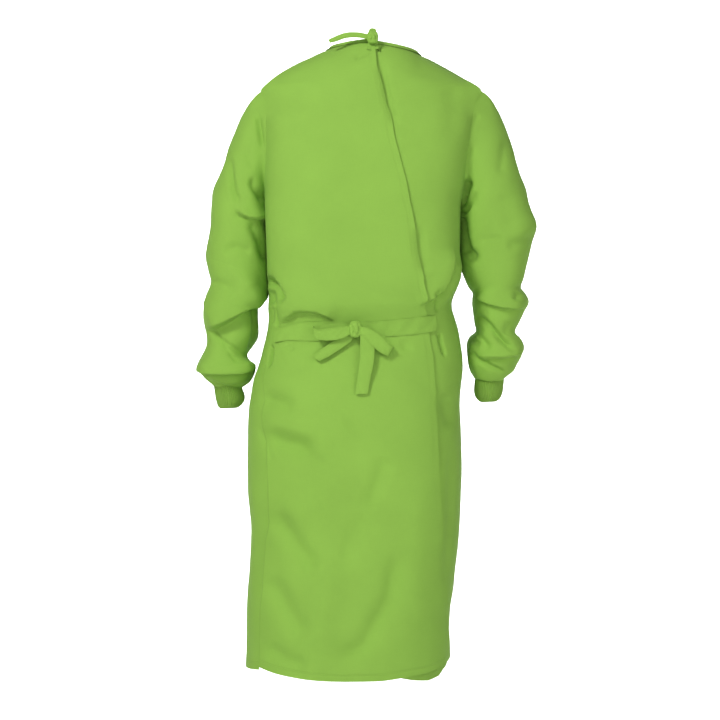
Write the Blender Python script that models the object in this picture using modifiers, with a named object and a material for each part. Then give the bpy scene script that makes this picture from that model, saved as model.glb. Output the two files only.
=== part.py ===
"""Back-wrap protective gown with long sleeves, knitted cuffs, a neck tie and a waist tie.

Frame: metres, +Z up. The origin is the centre of the neck opening. -Y is the wearer's back, where the
gown wraps and ties, +Y is the wearer's front and +X is the wearer's right.
Every cloth piece is a strip of one body surface or of one sleeve surface, made solid with Solidify,
with a small gap between neighbours where the real gown is sewn.
"""

import math

import bmesh
import bpy
from mathutils import Matrix, Vector

# ---------------------------------------------------------------- driving dimensions (metres)
CLOTH = 0.0016  # thickness of a cloth layer
TAPE = 0.0014  # thickness of a tie
GAP = 0.0012  # clearance between two sewn pieces
SEAM = 0.0050  # width of a sewn seam
LAP = 0.0054  # how far the outer flap stands off the under flap
NECK_BAND = 0.0100  # height of the neck binding
HEM = 0.0200  # depth of the hems
FACING = 0.0120  # width of the flap edge facings
HEM_Z = -1.1660  # level of the hem
SKIRT_CUT_Z = -0.6600  # where the outer flap starts to swing as a skirt
NECK_SCOOP = 0.0550  # how far the neckline drops at the front

ARM_Z, ARM_HALF_HEIGHT, ARM_HALF_DEPTH = -0.1870, 0.1080, 0.0680  # armhole
ELBOW_Z, ELBOW_LIMIT = -0.4435, 60.0  # elbow level and its largest bend in degrees
ELBOW_Y = 0.0120

# body sections: z, left x, right x, depth behind, depth in front, roundness
BODY = (
    (0.014, -0.0810, 0.0815, 0.0600, 0.0560, 2.1),
    (0.000, -0.0830, 0.0830, 0.0630, 0.0600, 2.1),
    (-0.015, -0.1130, 0.1080, 0.0730, 0.0700, 2.0),
    (-0.034, -0.1510, 0.1390, 0.0850, 0.0820, 2.0),
    (-0.053, -0.1810, 0.1660, 0.0945, 0.0910, 2.0),
    (-0.072, -0.2040, 0.1930, 0.1020, 0.0980, 2.2),
    (-0.090, -0.2130, 0.2020, 0.1080, 0.1030, 2.5),
    (-0.134, -0.2120, 0.1950, 0.1190, 0.1100, 2.9),
    (-0.183, -0.2080, 0.1840, 0.1260, 0.1150, 3.2),
    (-0.260, -0.2050, 0.1690, 0.1310, 0.1170, 3.3),
    (-0.300, -0.2030, 0.1610, 0.1320, 0.1160, 3.3),
    (-0.430, -0.2000, 0.1590, 0.1330, 0.1100, 3.2),
    (-0.480, -0.1990, 0.1520, 0.1300, 0.1060, 3.0),
    (-0.528, -0.1980, 0.1540, 0.1180, 0.1020, 2.7),
    (-0.562, -0.2070, 0.1600, 0.1220, 0.1080, 2.6),
    (-0.604, -0.2190, 0.1640, 0.1300, 0.1140, 2.5),
    (-0.676, -0.2330, 0.1620, 0.1380, 0.1200, 2.5),
    (-0.789, -0.2380, 0.1630, 0.1440, 0.1280, 2.5),
    (-0.902, -0.2330, 0.1600, 0.1470, 0.1330, 2.5),
    (-1.015, -0.2370, 0.1500, 0.1490, 0.1370, 2.5),
    (-1.113, -0.2400, 0.1430, 0.1500, 0.1390, 2.5),
    (-1.200, -0.2360, 0.1430, 0.1500, 0.1400, 2.5),
)
# free edge of the outer flap: z, x
FLAP_EDGE = (
    (0.014, -0.0015),
    (0.000, 0.0000),
    (-0.070, 0.0110),
    (-0.125, 0.0235),
    (-0.210, 0.0430),
    (-0.296, 0.0615),
    (-0.404, 0.0785),
    (-0.478, 0.0885),
    (-0.530, 0.0960),
    (-0.572, 0.1030),
    (-0.655, 0.1080),
    (-0.776, 0.1130),
    (-0.940, 0.1200),
    (-1.060, 0.1260),
    (-1.200, 0.1310),
)
# free edge of the under flap, hidden below the outer one: z, x
UNDER_EDGE = ((0.014, -0.0060), (0.000, -0.0080), (-0.125, -0.0280), (-0.300, -0.0500), (-0.530, -0.0700), (-1.200, -0.0950))
# left side seam, as an angle behind the widest point: z, degrees
SIDE_SEAM_LEFT = ((0.0, 0.0), (-0.296, 0.0), (-0.330, 7.0), (-0.480, 18.0), (-0.560, 25.0), (-0.640, 33.0), (-1.200, 33.0))
SIDE_SEAM_RIGHT = ((0.0, 0.0), (-1.200, 0.0))
# hem of the outer flap across its width: share of the width, z
FLAP_HEM = ((0.00, -1.1560), (0.15, -1.1590), (0.40, -1.1660), (0.60, -1.1610), (0.80, -1.1530), (1.00, -1.1480))

# sleeve rings: outer x, outer z, inner x, inner z, centre y, half depth, roundness, front-and-back recess
SLEEVE_LEFT_UPPER = (
    (-0.2400, -0.1080, -0.2090, -0.3060, 0.001, 0.0690, 2.1, 0.006),
    (-0.2590, -0.1450, -0.2085, -0.3200, 0.003, 0.0700, 2.2, 0.003),
    (-0.2740, -0.1850, -0.2075, -0.3340, 0.005, 0.0700, 2.3, 0.001),
    (-0.2870, -0.2230, -0.2065, -0.3480, 0.007, 0.0700, 2.4, 0.0),
    (-0.3000, -0.2620, -0.2060, -0.3600, 0.009, 0.0700, 2.4, 0.0),
    (-0.3080, -0.3080, -0.2055, -0.3720, 0.010, 0.0690, 2.4, 0.0),
    (-0.3130, -0.3600, -0.2050, -0.3860, 0.011, 0.0680, 2.4, 0.0),
)
SLEEVE_LEFT_LOWER = (  # z, outer x, inner x, centre y, half depth
    (-0.4435, -0.3150, -0.2040, 0.012, 0.0680),
    (-0.4940, -0.3205, -0.2150, 0.014, 0.0660),
    (-0.5280, -0.3205, -0.2220, 0.016, 0.0620),
    (-0.5570, -0.3190, -0.2300, 0.018, 0.0580),
    (-0.5810, -0.3260, -0.2360, 0.020, 0.0560),
    (-0.6000, -0.3330, -0.2270, 0.022, 0.0580),
    (-0.6190, -0.3230, -0.2330, 0.022, 0.0520),
    (-0.6310, -0.3050, -0.2500, 0.022, 0.0360),
)
CUFF_LEFT = (
    (-0.6335, -0.3030, -0.2510, 0.022, 0.0340),
    (-0.6560, -0.3020, -0.2460, 0.023, 0.0350),
    (-0.6760, -0.2960, -0.2490, 0.024, 0.0320),
)
SLEEVE_RIGHT_UPPER = (
    (0.2300, -0.1080, 0.1680, -0.3060, 0.001, 0.0690, 2.1, 0.006),
    (0.2470, -0.1450, 0.1675, -0.3200, 0.003, 0.0700, 2.2, 0.003),
    (0.2600, -0.1850, 0.1670, -0.3330, 0.005, 0.0700, 2.3, 0.001),
    (0.2730, -0.2230, 0.1670, -0.3460, 0.007, 0.0700, 2.4, 0.0),
    (0.2870, -0.2620, 0.1670, -0.3580, 0.009, 0.0700, 2.4, 0.0),
    (0.2990, -0.3000, 0.1670, -0.3700, 0.010, 0.0690, 2.4, 0.0),
    (0.3065, -0.3350, 0.1670, -0.3820, 0.011, 0.0680, 2.4, 0.0),
    (0.2980, -0.3700, 0.1675, -0.3950, 0.012, 0.0680, 2.4, 0.0),
)
SLEEVE_RIGHT_LOWER = (
    (-0.4435, 0.2840, 0.1750, 0.012, 0.0680),
    (-0.4720, 0.2890, 0.1830, 0.013, 0.0670),
    (-0.5000, 0.2840, 0.1870, 0.015, 0.0640),
    (-0.5320, 0.2690, 0.1910, 0.016, 0.0600),
    (-0.5560, 0.2840, 0.1780, 0.018, 0.0600),
    (-0.5790, 0.2760, 0.1760, 0.020, 0.0570),
    (-0.5980, 0.2700, 0.1790, 0.021, 0.0520),
    (-0.6170, 0.2500, 0.1910, 0.022, 0.0380),
)
CUFF_RIGHT = (
    (-0.6195, 0.2480, 0.1925, 0.022, 0.0340),
    (-0.6445, 0.2450, 0.1905, 0.023, 0.0350),
    (-0.6660, 0.2400, 0.1980, 0.024, 0.0310),
)

# waist tie and bow
BELT_OUT = 0.0086  # how far the tie's outer face stands off the body surface
BELT_LEFT = ((-0.1760, -0.5230, -0.5515), (-0.1100, -0.5180, -0.5480), (-0.0470, -0.5150, -0.5450))  # x, top z, bottom z
BELT_RIGHT = ((-0.0235, -0.5150, -0.5450), (0.0450, -0.5120, -0.5405), (0.1060, -0.5045, -0.5330))
BOW_X, BOW_Z = -0.0350, -0.5290
NECK_KNOT_X, NECK_KNOT_Z = -0.0030, 0.0150

GREEN = (0.235, 0.425, 0.075)

# ---------------------------------------------------------------- scene and materials
for old in list(bpy.data.objects):
    bpy.data.objects.remove(old, do_unlink=True)

gown = bpy.data.collections.new("patient_gown")
bpy.context.scene.collection.children.link(gown)


def finish(name, shade=1.0, roughness=0.85):
    """A cloth material of its own for one piece."""
    material = bpy.data.materials.new(name)
    material.use_nodes = True
    shader = material.node_tree.nodes["Principled BSDF"]
    shader.inputs["Base Color"].default_value = (*[c * shade for c in GREEN], 1.0)
    shader.inputs["Roughness"].default_value = roughness
    shader.inputs["Metallic"].default_value = 0.0
    return material


# ---------------------------------------------------------------- helpers
def smooth_table(table):
    """A function that runs smoothly through a table's rows, whose first column falls."""
    rows = sorted(table)
    xs = [r[0] for r in rows]
    ys = [r[1:] for r in rows]
    width = len(ys[0])
    slopes = []
    for i in range(len(rows)):
        slope = []
        for k in range(width):
            left = (ys[i][k] - ys[i - 1][k]) / (xs[i] - xs[i - 1]) if i else None
            right = (ys[i + 1][k] - ys[i][k]) / (xs[i + 1] - xs[i]) if i + 1 < len(rows) else None
            if left is None or right is None:
                slope.append(left if right is None else right)
            elif left * right <= 0:
                slope.append(0.0)
            else:
                slope.append(2 * left * right / (left + right))
        slopes.append(slope)

    def value(x):
        x = min(max(x, xs[0]), xs[-1])
        i = 0
        while i < len(xs) - 2 and x > xs[i + 1]:
            i += 1
        h = xs[i + 1] - xs[i]
        t = (x - xs[i]) / h
        a, b = 2 * t**3 - 3 * t**2 + 1, t**3 - 2 * t**2 + t
        c, d = -2 * t**3 + 3 * t**2, t**3 - t**2
        return [
            a * ys[i][k] + b * h * slopes[i][k] + c * ys[i + 1][k] + d * h * slopes[i + 1][k]
            for k in range(width)
        ]

    return value


body_at = smooth_table(BODY)
flap_edge_at = smooth_table(FLAP_EDGE)
under_edge_at = smooth_table(UNDER_EDGE)
seam_left_at = smooth_table(SIDE_SEAM_LEFT)
seam_right_at = smooth_table(SIDE_SEAM_RIGHT)
flap_hem_at = smooth_table(FLAP_HEM)


def power(value, exponent):
    return math.copysign(abs(value) ** exponent, value)


def smoothstep(x, low, high):
    t = min(max((x - low) / (high - low), 0.0), 1.0)
    return t * t * (3 - 2 * t)


def body_point(angle, z, out=0.0):
    """A point of the body surface: angle 0 is the right side, -90 the back, 90 the front."""
    left, right, behind, front, n = body_at(z)
    c, s = math.cos(math.radians(angle)), math.sin(math.radians(angle))
    depth = (behind if s < 0 else front) + out
    x = (left + right) / 2 + ((right - left) / 2 + out) * power(c, 2 / n)
    y = depth * power(s, 2 / n)
    scoop = NECK_SCOOP * smoothstep(z, -0.16, 0.0) * max(s, 0.0) ** 2
    return Vector((x, y, z - scoop + out * 0.8 * smoothstep(z, -0.11, -0.05)))


def angle_at_x(x, z):
    """The angle on the back of the body where the surface has this x."""
    left, right, _, _, n = body_at(z)
    c = (x - (left + right) / 2) / ((right - left) / 2)
    return -math.degrees(math.acos(max(-1.0, min(1.0, power(c, n / 2)))))


def lean_at_y(y, z, behind):
    """How many degrees from the widest point the surface reaches this depth."""
    _, _, back, front, n = body_at(z)
    depth = back if behind else front
    return math.degrees(math.asin(min(1.0, abs(y) / depth) ** (n / 2)))


def step(angle, z, width):
    """The change of angle that moves a point by this width along the surface."""
    size = (body_point(angle + 0.5, z) - body_point(angle - 0.5, z)).length
    return width / size


def hole_y(z, half_height, half_depth):
    t = (z - ARM_Z) / half_height
    return half_depth * math.sqrt(1 - t * t) if abs(t) < 1 else 0.0


def material_for(name):
    return finish(name + "_finish", 0.9 if "seam" in name or "facing" in name else 1.0)


def solid_sheet(name, rows, closed=False, thickness=CLOTH, away_from=None):
    """A cloth piece from rows of points: an open surface made solid towards its inner side."""
    bm = bmesh.new()
    grid = [[bm.verts.new(p) for p in row] for row in rows]
    count = len(rows[0])
    for r in range(len(rows) - 1):
        for c in range(count if closed else count - 1):
            d = (c + 1) % count
            bm.faces.new((grid[r][c], grid[r + 1][c], grid[r + 1][d], grid[r][d]))
    bm.normal_update()
    if away_from is not None:
        facing = sum(f.normal.dot(f.calc_center_median() - away_from(f.calc_center_median())) for f in bm.faces)
        if facing < 0:
            bmesh.ops.reverse_faces(bm, faces=bm.faces[:])
    mesh = bpy.data.meshes.new(name)
    bm.to_mesh(mesh)
    bm.free()
    mesh.shade_smooth()
    obj = bpy.data.objects.new(name, mesh)
    gown.objects.link(obj)
    solidify = obj.modifiers.new("cloth", "SOLIDIFY")
    solidify.thickness = thickness
    solidify.offset = -1.0
    mesh.materials.append(material_for(name))
    return obj


def set_axis(obj, point):
    """Moves the object's origin onto its joint axis without moving its shape."""
    obj.data.transform(Matrix.Translation(-Vector(point)))
    obj.location = point


# ---------------------------------------------------------------- body panels
HOLE_H, HOLE_D = ARM_HALF_HEIGHT + SEAM + GAP, ARM_HALF_DEPTH + SEAM + GAP
SHOULDER_ROWS = [0.0, -0.014, -0.030, -0.048, -0.064]
ARM_ROWS = [ARM_Z + HOLE_H * math.sin(math.radians(a)) for a in (90, 67.5, 45, 22.5, 0, -22.5, -45, -67.5, -90)]
WAIST_ROWS = [ARM_ROWS[-1] - 0.0035, -0.335, -0.380, -0.430, -0.480, -0.505, -0.528, -0.552, -0.580, -0.620]
TOP_ROWS = SHOULDER_ROWS + ARM_ROWS + WAIST_ROWS
SKIRT_ROWS = [-0.720, -0.790, -0.860, -0.930, -1.000, -1.070]
HEM_TOP = HEM_Z + HEM


def lean(z, behind, left_side):
    """Angle from the widest point to a panel's edge: shoulder seam, then armhole, then side seam."""
    if z > ARM_ROWS[-1]:
        y = max(SEAM / 2 + GAP, hole_y(z, HOLE_H, HOLE_D))
        return lean_at_y(y, z, behind)
    seam = (seam_left_at if left_side else seam_right_at)(z)[0]
    base = (-180 + seam) if left_side else -seam
    width = step(base, z, SEAM / 2 + GAP)
    return (seam if behind else -seam) + width


def left_back(z):
    return -180 + lean(z, True, True)


def left_front(z):
    return 180 - lean(z, False, True)


def right_back(z):
    return -lean(z, True, False)


def right_front(z):
    return lean(z, False, False)


def spread(first, last, count):
    return [first + (last - first) * i / count for i in range(count + 1)]


def panel_rows(levels, start, end, count, out=lambda u, z: 0.0, level=lambda u, z: z):
    rows = []
    for z in levels:
        angles = spread(start(level(0.0, z)), end(level(1.0, z)), count)
        rows.append([body_point(a, level(i / count, z), out(i / count, z)) for i, a in enumerate(angles)])
    return rows


def lap_out(u, z):
    """The outer flap starts on the body surface at the side seam and then stands off the under flap."""
    return LAP * smoothstep(u, 0.0, 0.30)


def full_lap(u, z):
    return LAP


ALL_ROWS = TOP_ROWS + [SKIRT_CUT_Z] + SKIRT_ROWS
solid_sheet("front_panel", panel_rows(ALL_ROWS + [HEM_TOP + GAP], right_front, left_front, 16))


def flap_inner(z):
    """The line where the outer flap's cloth ends and its edge facing begins."""
    a = angle_at_x(flap_edge_at(z)[0], z)
    return a - step(a, z, FACING + GAP)


def flap_facing_start(z):
    a = angle_at_x(flap_edge_at(z)[0], z)
    return a - step(a, z, FACING)


def flap_end(z):
    return angle_at_x(flap_edge_at(z)[0], z)


def under_inner(z):
    a = angle_at_x(under_edge_at(z)[0], z)
    return a + step(a, z, FACING + GAP)


def under_facing_end(z):
    a = angle_at_x(under_edge_at(z)[0], z)
    return a + step(a, z, FACING)


def under_end(z):
    return angle_at_x(under_edge_at(z)[0], z)


FLAP_TOP_ROWS = TOP_ROWS + [SKIRT_CUT_Z]
FLAP_SKIRT_ROWS = [SKIRT_CUT_Z - GAP] + SKIRT_ROWS


def flap_hem_level(top):
    """Levels of the outer flap's hem, which rises towards its free edge."""

    def level(u, z):
        return z if z > -1.075 else flap_hem_at(u)[0] + (HEM + GAP if top else (HEM if z > HEM_Z else 0.0))

    return level


solid_sheet("back_panel_left", panel_rows(FLAP_TOP_ROWS, left_back, flap_inner, 12, lap_out))
solid_sheet(
    "back_panel_left_skirt",
    panel_rows(FLAP_SKIRT_ROWS + [HEM_TOP], left_back, flap_inner, 12, lap_out, flap_hem_level(True)),
)
solid_sheet("hem_back_left", panel_rows([HEM_TOP, HEM_Z], left_back, flap_inner, 12, lap_out, flap_hem_level(False)))
solid_sheet("edge_facing_left", panel_rows(FLAP_TOP_ROWS, flap_facing_start, flap_end, 1, full_lap))
solid_sheet(
    "edge_facing_left_skirt",
    panel_rows(FLAP_SKIRT_ROWS + [flap_hem_at(1.0)[0] + HEM, flap_hem_at(1.0)[0]], flap_facing_start, flap_end, 1, full_lap),
)
solid_sheet("back_panel_right", panel_rows(ALL_ROWS + [HEM_TOP + GAP], under_inner, right_back, 10))
solid_sheet("edge_facing_right", panel_rows(ALL_ROWS + [HEM_TOP + GAP], under_end, under_facing_end, 1))
solid_sheet("hem_back_right", panel_rows([HEM_TOP, HEM_Z], under_end, right_back, 10))
solid_sheet("hem_front", panel_rows([HEM_TOP, HEM_Z], right_front, left_front, 16))


# ---------------------------------------------------------------- seams
def seam_strip(name, levels, centre, width):
    rows = []
    for z in levels:
        half = step(centre(z), z, width / 2)
        rows.append([body_point(centre(z) + k * half, z) for k in (-1, 1)])
    return solid_sheet(name, rows)


shoulder_levels = [0.0] + SHOULDER_ROWS[1:] + [ARM_ROWS[0] + 0.0035]
side_levels = WAIST_ROWS + [SKIRT_CUT_Z] + SKIRT_ROWS + [HEM_Z]
seam_strip("shoulder_seam_left", shoulder_levels, lambda z: 180.0, SEAM)
seam_strip("shoulder_seam_right", shoulder_levels, lambda z: 0.0, SEAM)
seam_strip("side_seam_left", side_levels, lambda z: 180 + seam_left_at(z)[0], SEAM)
seam_strip("side_seam_right", side_levels, lambda z: -seam_right_at(z)[0], SEAM)


def wall_point(phi, half_height, half_depth, left_side):
    """A point of the body surface on an oval round the armhole: phi 90 is the top, 0 the front."""
    z = ARM_Z + half_height * math.sin(math.radians(phi))
    y = half_depth * math.cos(math.radians(phi))
    lean_by = lean_at_y(y, z, y < 0)
    turn = math.copysign(lean_by, y) if y else 0.0
    return body_point(180 - turn if left_side else turn, z)


PHIS = [i * 22.5 for i in range(16)]


def middle_of(points):
    return sum(points, Vector()) / len(points)


for side, left_side in (("left", True), ("right", False)):
    inner = [wall_point(a, ARM_HALF_HEIGHT, ARM_HALF_DEPTH, left_side) for a in PHIS]
    outer = [wall_point(a, ARM_HALF_HEIGHT + SEAM, ARM_HALF_DEPTH + SEAM, left_side) for a in PHIS]
    core = Vector((-0.03 if left_side else 0.0, 0.0, ARM_Z))
    solid_sheet(f"armhole_seam_{side}", [inner, outer], closed=True, away_from=lambda p, core=core: core)


# ---------------------------------------------------------------- sleeves
def notch(y):
    """The cloth cut away at the front of the elbow, so that the sleeve can bend."""
    return max(0.0, y - ELBOW_Y) * math.tan(math.radians(ELBOW_LIMIT / 2))


def ring_fan(row):
    ox, oz, ix, iz, cy, depth, n, recess = row
    points = []
    for a in PHIS:
        s, c = power(math.sin(math.radians(a)), 2 / n), power(math.cos(math.radians(a)), 2 / n)
        inward = recess * c * c * (1 if ox < 0 else -1)
        points.append(Vector(((ox + ix) / 2 + (ox - ix) / 2 * s + inward, cy + depth * c, (oz + iz) / 2 + (oz - iz) / 2 * s)))
    return points


def ring_level(row, cut=0, shift=0.0):
    z, ox, ix, cy, depth = row
    points = []
    for a in PHIS:
        s, c = power(math.sin(math.radians(a)), 2 / 2.3), power(math.cos(math.radians(a)), 2 / 2.3)
        y = cy + depth * c
        points.append(Vector(((ox + ix) / 2 + (ox - ix) / 2 * s, y, z + shift + cut * notch(y))))
    return points


def between(first, second, share):
    return [p.lerp(q, share) for p, q in zip(first, second)]


def tube(name, rings, thickness=CLOTH):
    centres = [middle_of(r) for r in rings]

    def nearest(point):
        best = min(range(len(centres) - 1), key=lambda i: min((point - centres[i]).length, (point - centres[i + 1]).length))
        a, b = centres[best], centres[best + 1]
        t = min(max((point - a).dot(b - a) / max((b - a).length_squared, 1e-12), 0.0), 1.0)
        return a.lerp(b, t)

    return solid_sheet(name, rings, closed=True, thickness=thickness, away_from=nearest)


SHOULDER_LEFT = body_point(180.0, ARM_Z + ARM_HALF_HEIGHT)
SHOULDER_RIGHT = body_point(0.0, ARM_Z + ARM_HALF_HEIGHT)

for side, upper, lower, cuff in (
    ("left", SLEEVE_LEFT_UPPER, SLEEVE_LEFT_LOWER, CUFF_LEFT),
    ("right", SLEEVE_RIGHT_UPPER, SLEEVE_RIGHT_LOWER, CUFF_RIGHT),
):
    out = Vector((-1.0 if side == "left" else 1.0, 0.0, 0.0))
    head = [wall_point(a, ARM_HALF_HEIGHT, ARM_HALF_DEPTH, side == "left") + out * 0.0016 for a in PHIS]
    bottom = ring_level(lower[0], 1, GAP / 2)
    tube(f"sleeve_{side}_upper", [head] + [ring_fan(row) for row in upper] + [between(ring_fan(upper[-1]), bottom, 0.5), bottom])
    first = ring_level(lower[0], -1, -GAP / 2)
    rest = [ring_level(row) for row in lower[1:]]
    second = between(first, rest[0], 0.5)
    tube(f"sleeve_{side}_lower", [first, second] + [r if i else between(first, r, 0.97) for i, r in enumerate(rest)])
    tube(f"cuff_{side}", [ring_level(row) for row in cuff], thickness=0.0022)

# ---------------------------------------------------------------- neck binding
BAND_ROWS = [GAP, NECK_BAND]


def knot_left(z):
    return angle_at_x(flap_edge_at(z)[0] - 0.006, z)


def knot_right(z):
    return angle_at_x(flap_edge_at(z)[0] + 0.006, z)


solid_sheet("neck_binding_front", panel_rows(BAND_ROWS, lambda z: 1.0, lambda z: 179.0, 12, level=lambda u, z: z))
solid_sheet("neck_binding_back_left", panel_rows(BAND_ROWS, lambda z: -179.0, knot_left, 8, lambda u, z: LAP * smoothstep(u, 0.0, 0.3)))
solid_sheet("neck_binding_back_right", panel_rows(BAND_ROWS, knot_right, lambda z: -1.0, 8))


# ---------------------------------------------------------------- ties, knots and bow
def knot(name, centre, size):
    mesh = bpy.data.meshes.new(name)
    bm = bmesh.new()
    bmesh.ops.create_uvsphere(bm, u_segments=12, v_segments=8, radius=1.0)
    for v in bm.verts:
        v.co = Vector((power(v.co.x, 0.8) * size[0], power(v.co.y, 0.9) * size[1], power(v.co.z, 0.8) * size[2]))
    bm.to_mesh(mesh)
    bm.free()
    mesh.shade_smooth()
    obj = bpy.data.objects.new(name, mesh)
    obj.location = centre
    gown.objects.link(obj)
    mesh.materials.append(material_for(name))
    return obj


def tape(name, path, axis=None, thickness=TAPE):
    """A flat tie: path rows are (one edge, other edge). Its origin goes onto its joint axis."""
    rows = [[Vector(a), Vector(b)] for a, b in path]
    obj = solid_sheet(name, rows, thickness=thickness)
    if axis is not None:
        set_axis(obj, axis)
    return obj


def back_y(x, z, out=0.0):
    """Where the body surface, or a surface this far off it, lies behind the wearer."""
    low = z - out * 0.8 * smoothstep(z, -0.11, -0.05)
    return body_point(angle_at_x(x, low), low, out).y


def belt(name, table, count):
    top_at = smooth_table([(r[0], r[1], r[2]) for r in table])
    xs = spread(table[0][0], table[-1][0], count)
    rows = []
    for share in (0.0, 0.5, 1.0):
        row = []
        for x in xs:
            top, bottom = top_at(x)
            z = top + (bottom - top) * share
            row.append(body_point(angle_at_x(x, z), z, BELT_OUT))
        rows.append(row)
    return solid_sheet(name, rows, thickness=TAPE)


belt("waist_tie_left", BELT_LEFT, 8)
belt("waist_tie_right", BELT_RIGHT, 8)
FACE_Y = back_y(BOW_X, BOW_Z, BELT_OUT) - 0.0010  # plane just behind which the bow lies on the tie
KNOT_AT = Vector((BOW_X, FACE_Y - 0.0086, BOW_Z))
knot("waist_knot", KNOT_AT, (0.0100, 0.0080, 0.0145))


def bow_loop(name, start, turn, length, half_width, face):
    """A tie that runs out from the knot, turns and comes back, wide at its end and gathered at the knot."""
    along = Vector((math.cos(math.radians(turn)), 0.0, math.sin(math.radians(turn))))
    across = Vector((-along.z, 0.0, along.x))
    rows = []
    shape = ((0.0, 0.0040), (0.15, 0.0028), (0.40, 0.0018), (0.70, 0.0018), (0.92, 0.0030), (1.0, 0.0062), (0.92, 0.0094), (0.70, 0.0112), (0.40, 0.0110), (0.15, 0.0096), (0.0, 0.0080))
    for s, t in shape:
        wide = half_width * (0.45 + 0.55 * smoothstep(s, 0.0, 0.6))
        centre = Vector(start) + along * (s * length)
        centre.y = face - t
        rows.append([centre - across * wide, centre + across * wide])
    obj = solid_sheet(name, rows, thickness=TAPE * 0.8)
    set_axis(obj, KNOT_AT)
    return obj


LOOP_FACE = FACE_Y - 0.0030
bow_loop("bow_loop_left", (BOW_X - 0.0110, 0.0, BOW_Z + 0.0010), 183.0, 0.0640, 0.0140, LOOP_FACE)
bow_loop("bow_loop_right", (BOW_X + 0.0150, 0.0, BOW_Z - 0.0070), -42.0, 0.0540, 0.0130, LOOP_FACE - 0.0020)



def on_tie(x, z):
    """A point that lies on the waist tie, or as far off the body below it."""
    return (x, min(FACE_Y, back_y(x, z, BELT_OUT) - 0.0010) - TAPE, z)


tape(
    "bow_tail_left",
    [
        (on_tie(-0.0480, -0.5390), on_tie(-0.0500, -0.5500)),
        (on_tie(-0.0700, -0.5480), on_tie(-0.0640, -0.5630)),
        (on_tie(-0.0930, -0.5600), on_tie(-0.0830, -0.5760)),
        (on_tie(-0.1130, -0.5745), on_tie(-0.1030, -0.5900)),
    ],
    axis=KNOT_AT,
)
hang = [(-0.5320, -0.0120, 0.0095), (-0.5520, -0.0130, 0.0125), (-0.5850, -0.0160, 0.0130), (-0.6200, -0.0200, 0.0128), (-0.6480, -0.0230, 0.0115)]
hang_front = FACE_Y - 0.0205
tape(
    "bow_tail_right",
    [((x - w, min(hang_front, back_y(x, z, LAP) - 0.0035), z), (x + w, min(hang_front, back_y(x, z, LAP) - 0.0035), z)) for z, x, w in hang],
    axis=(-0.0120, hang_front, -0.5340),
)

# neck tie: the knot stands just behind the binding, with a short folded end above it and a long free tail
NECK_FACE = back_y(0.0, 0.008, LAP) - 0.0012
NECK_AT = Vector((NECK_KNOT_X, NECK_FACE - 0.0080, NECK_KNOT_Z))
knot("neck_knot", NECK_AT, (0.0088, 0.0070, 0.0098))
end_y = NECK_AT.y
tape(
    "neck_tie_end",
    [((-0.0070, end_y, 0.0258), (0.0020, end_y - 0.001, 0.0262)), ((-0.0050, end_y + 0.002, 0.0310), (0.0060, end_y, 0.0335))],
)
tail_end_y = -0.0780
tape(
    "neck_tie_tail",
    [
        ((-0.0130, NECK_AT.y, 0.0115), (-0.0130, NECK_AT.y, 0.0195)),
        ((-0.0260, NECK_AT.y - 0.001, 0.0145), (-0.0260, NECK_AT.y - 0.001, 0.0235)),
        ((-0.0420, NECK_AT.y - 0.001, 0.0150), (-0.0410, NECK_AT.y - 0.001, 0.0245)),
        ((-0.0620, NECK_AT.y, 0.0110), (-0.0590, NECK_AT.y, 0.0205)),
        ((-0.0870, NECK_AT.y, 0.0010), (-0.0830, NECK_AT.y, 0.0095)),
    ],
    axis=NECK_AT,
)


def on_neck(x, z):
    return (x, back_y(x, z, LAP) - 0.0020 - TAPE, z)


tape("neck_tie_left", [(on_neck(-0.0090, 0.0030), on_neck(-0.0020, 0.0025)), (on_neck(-0.0150, -0.0130), on_neck(-0.0080, -0.0135))])
tape("neck_tie_right", [(on_neck(0.0005, 0.0025), on_neck(0.0065, 0.0030)), (on_neck(0.0045, -0.0110), on_neck(0.0110, -0.0100))])

# ---------------------------------------------------------------- joint axes
ELBOW_LEFT = Vector((-0.2600, ELBOW_Y, ELBOW_Z))
ELBOW_RIGHT = Vector((0.2300, ELBOW_Y, ELBOW_Z))
FLAP_HINGE = Vector((-0.2125, -0.0930, SKIRT_CUT_Z))


def pivot(name, point, pieces, parent=None):
    """An empty on a joint axis that carries the pieces of one moving body."""
    empty = bpy.data.objects.new(name, None)
    empty.empty_display_size = 0.03
    gown.objects.link(empty)
    empty.location = point
    bpy.context.view_layer.update()
    if parent is not None:
        empty.parent = parent
        empty.matrix_parent_inverse = parent.matrix_world.inverted()
    bpy.context.view_layer.update()
    for piece in pieces:
        obj = bpy.data.objects[piece]
        obj.parent = empty
        obj.matrix_parent_inverse = empty.matrix_world.inverted()
    return empty


arm_left = pivot("shoulder_axis_left", SHOULDER_LEFT, ["sleeve_left_upper"])
pivot("elbow_axis_left", ELBOW_LEFT, ["sleeve_left_lower", "cuff_left"], arm_left)
arm_right = pivot("shoulder_axis_right", SHOULDER_RIGHT, ["sleeve_right_upper"])
pivot("elbow_axis_right", ELBOW_RIGHT, ["sleeve_right_lower", "cuff_right"], arm_right)
pivot("flap_hinge", FLAP_HINGE, ["back_panel_left_skirt", "hem_back_left", "edge_facing_left_skirt"])
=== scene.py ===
"""Looks of the back-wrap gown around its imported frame: metres, +Z up, -Y the wearer's back."""

import math

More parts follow.
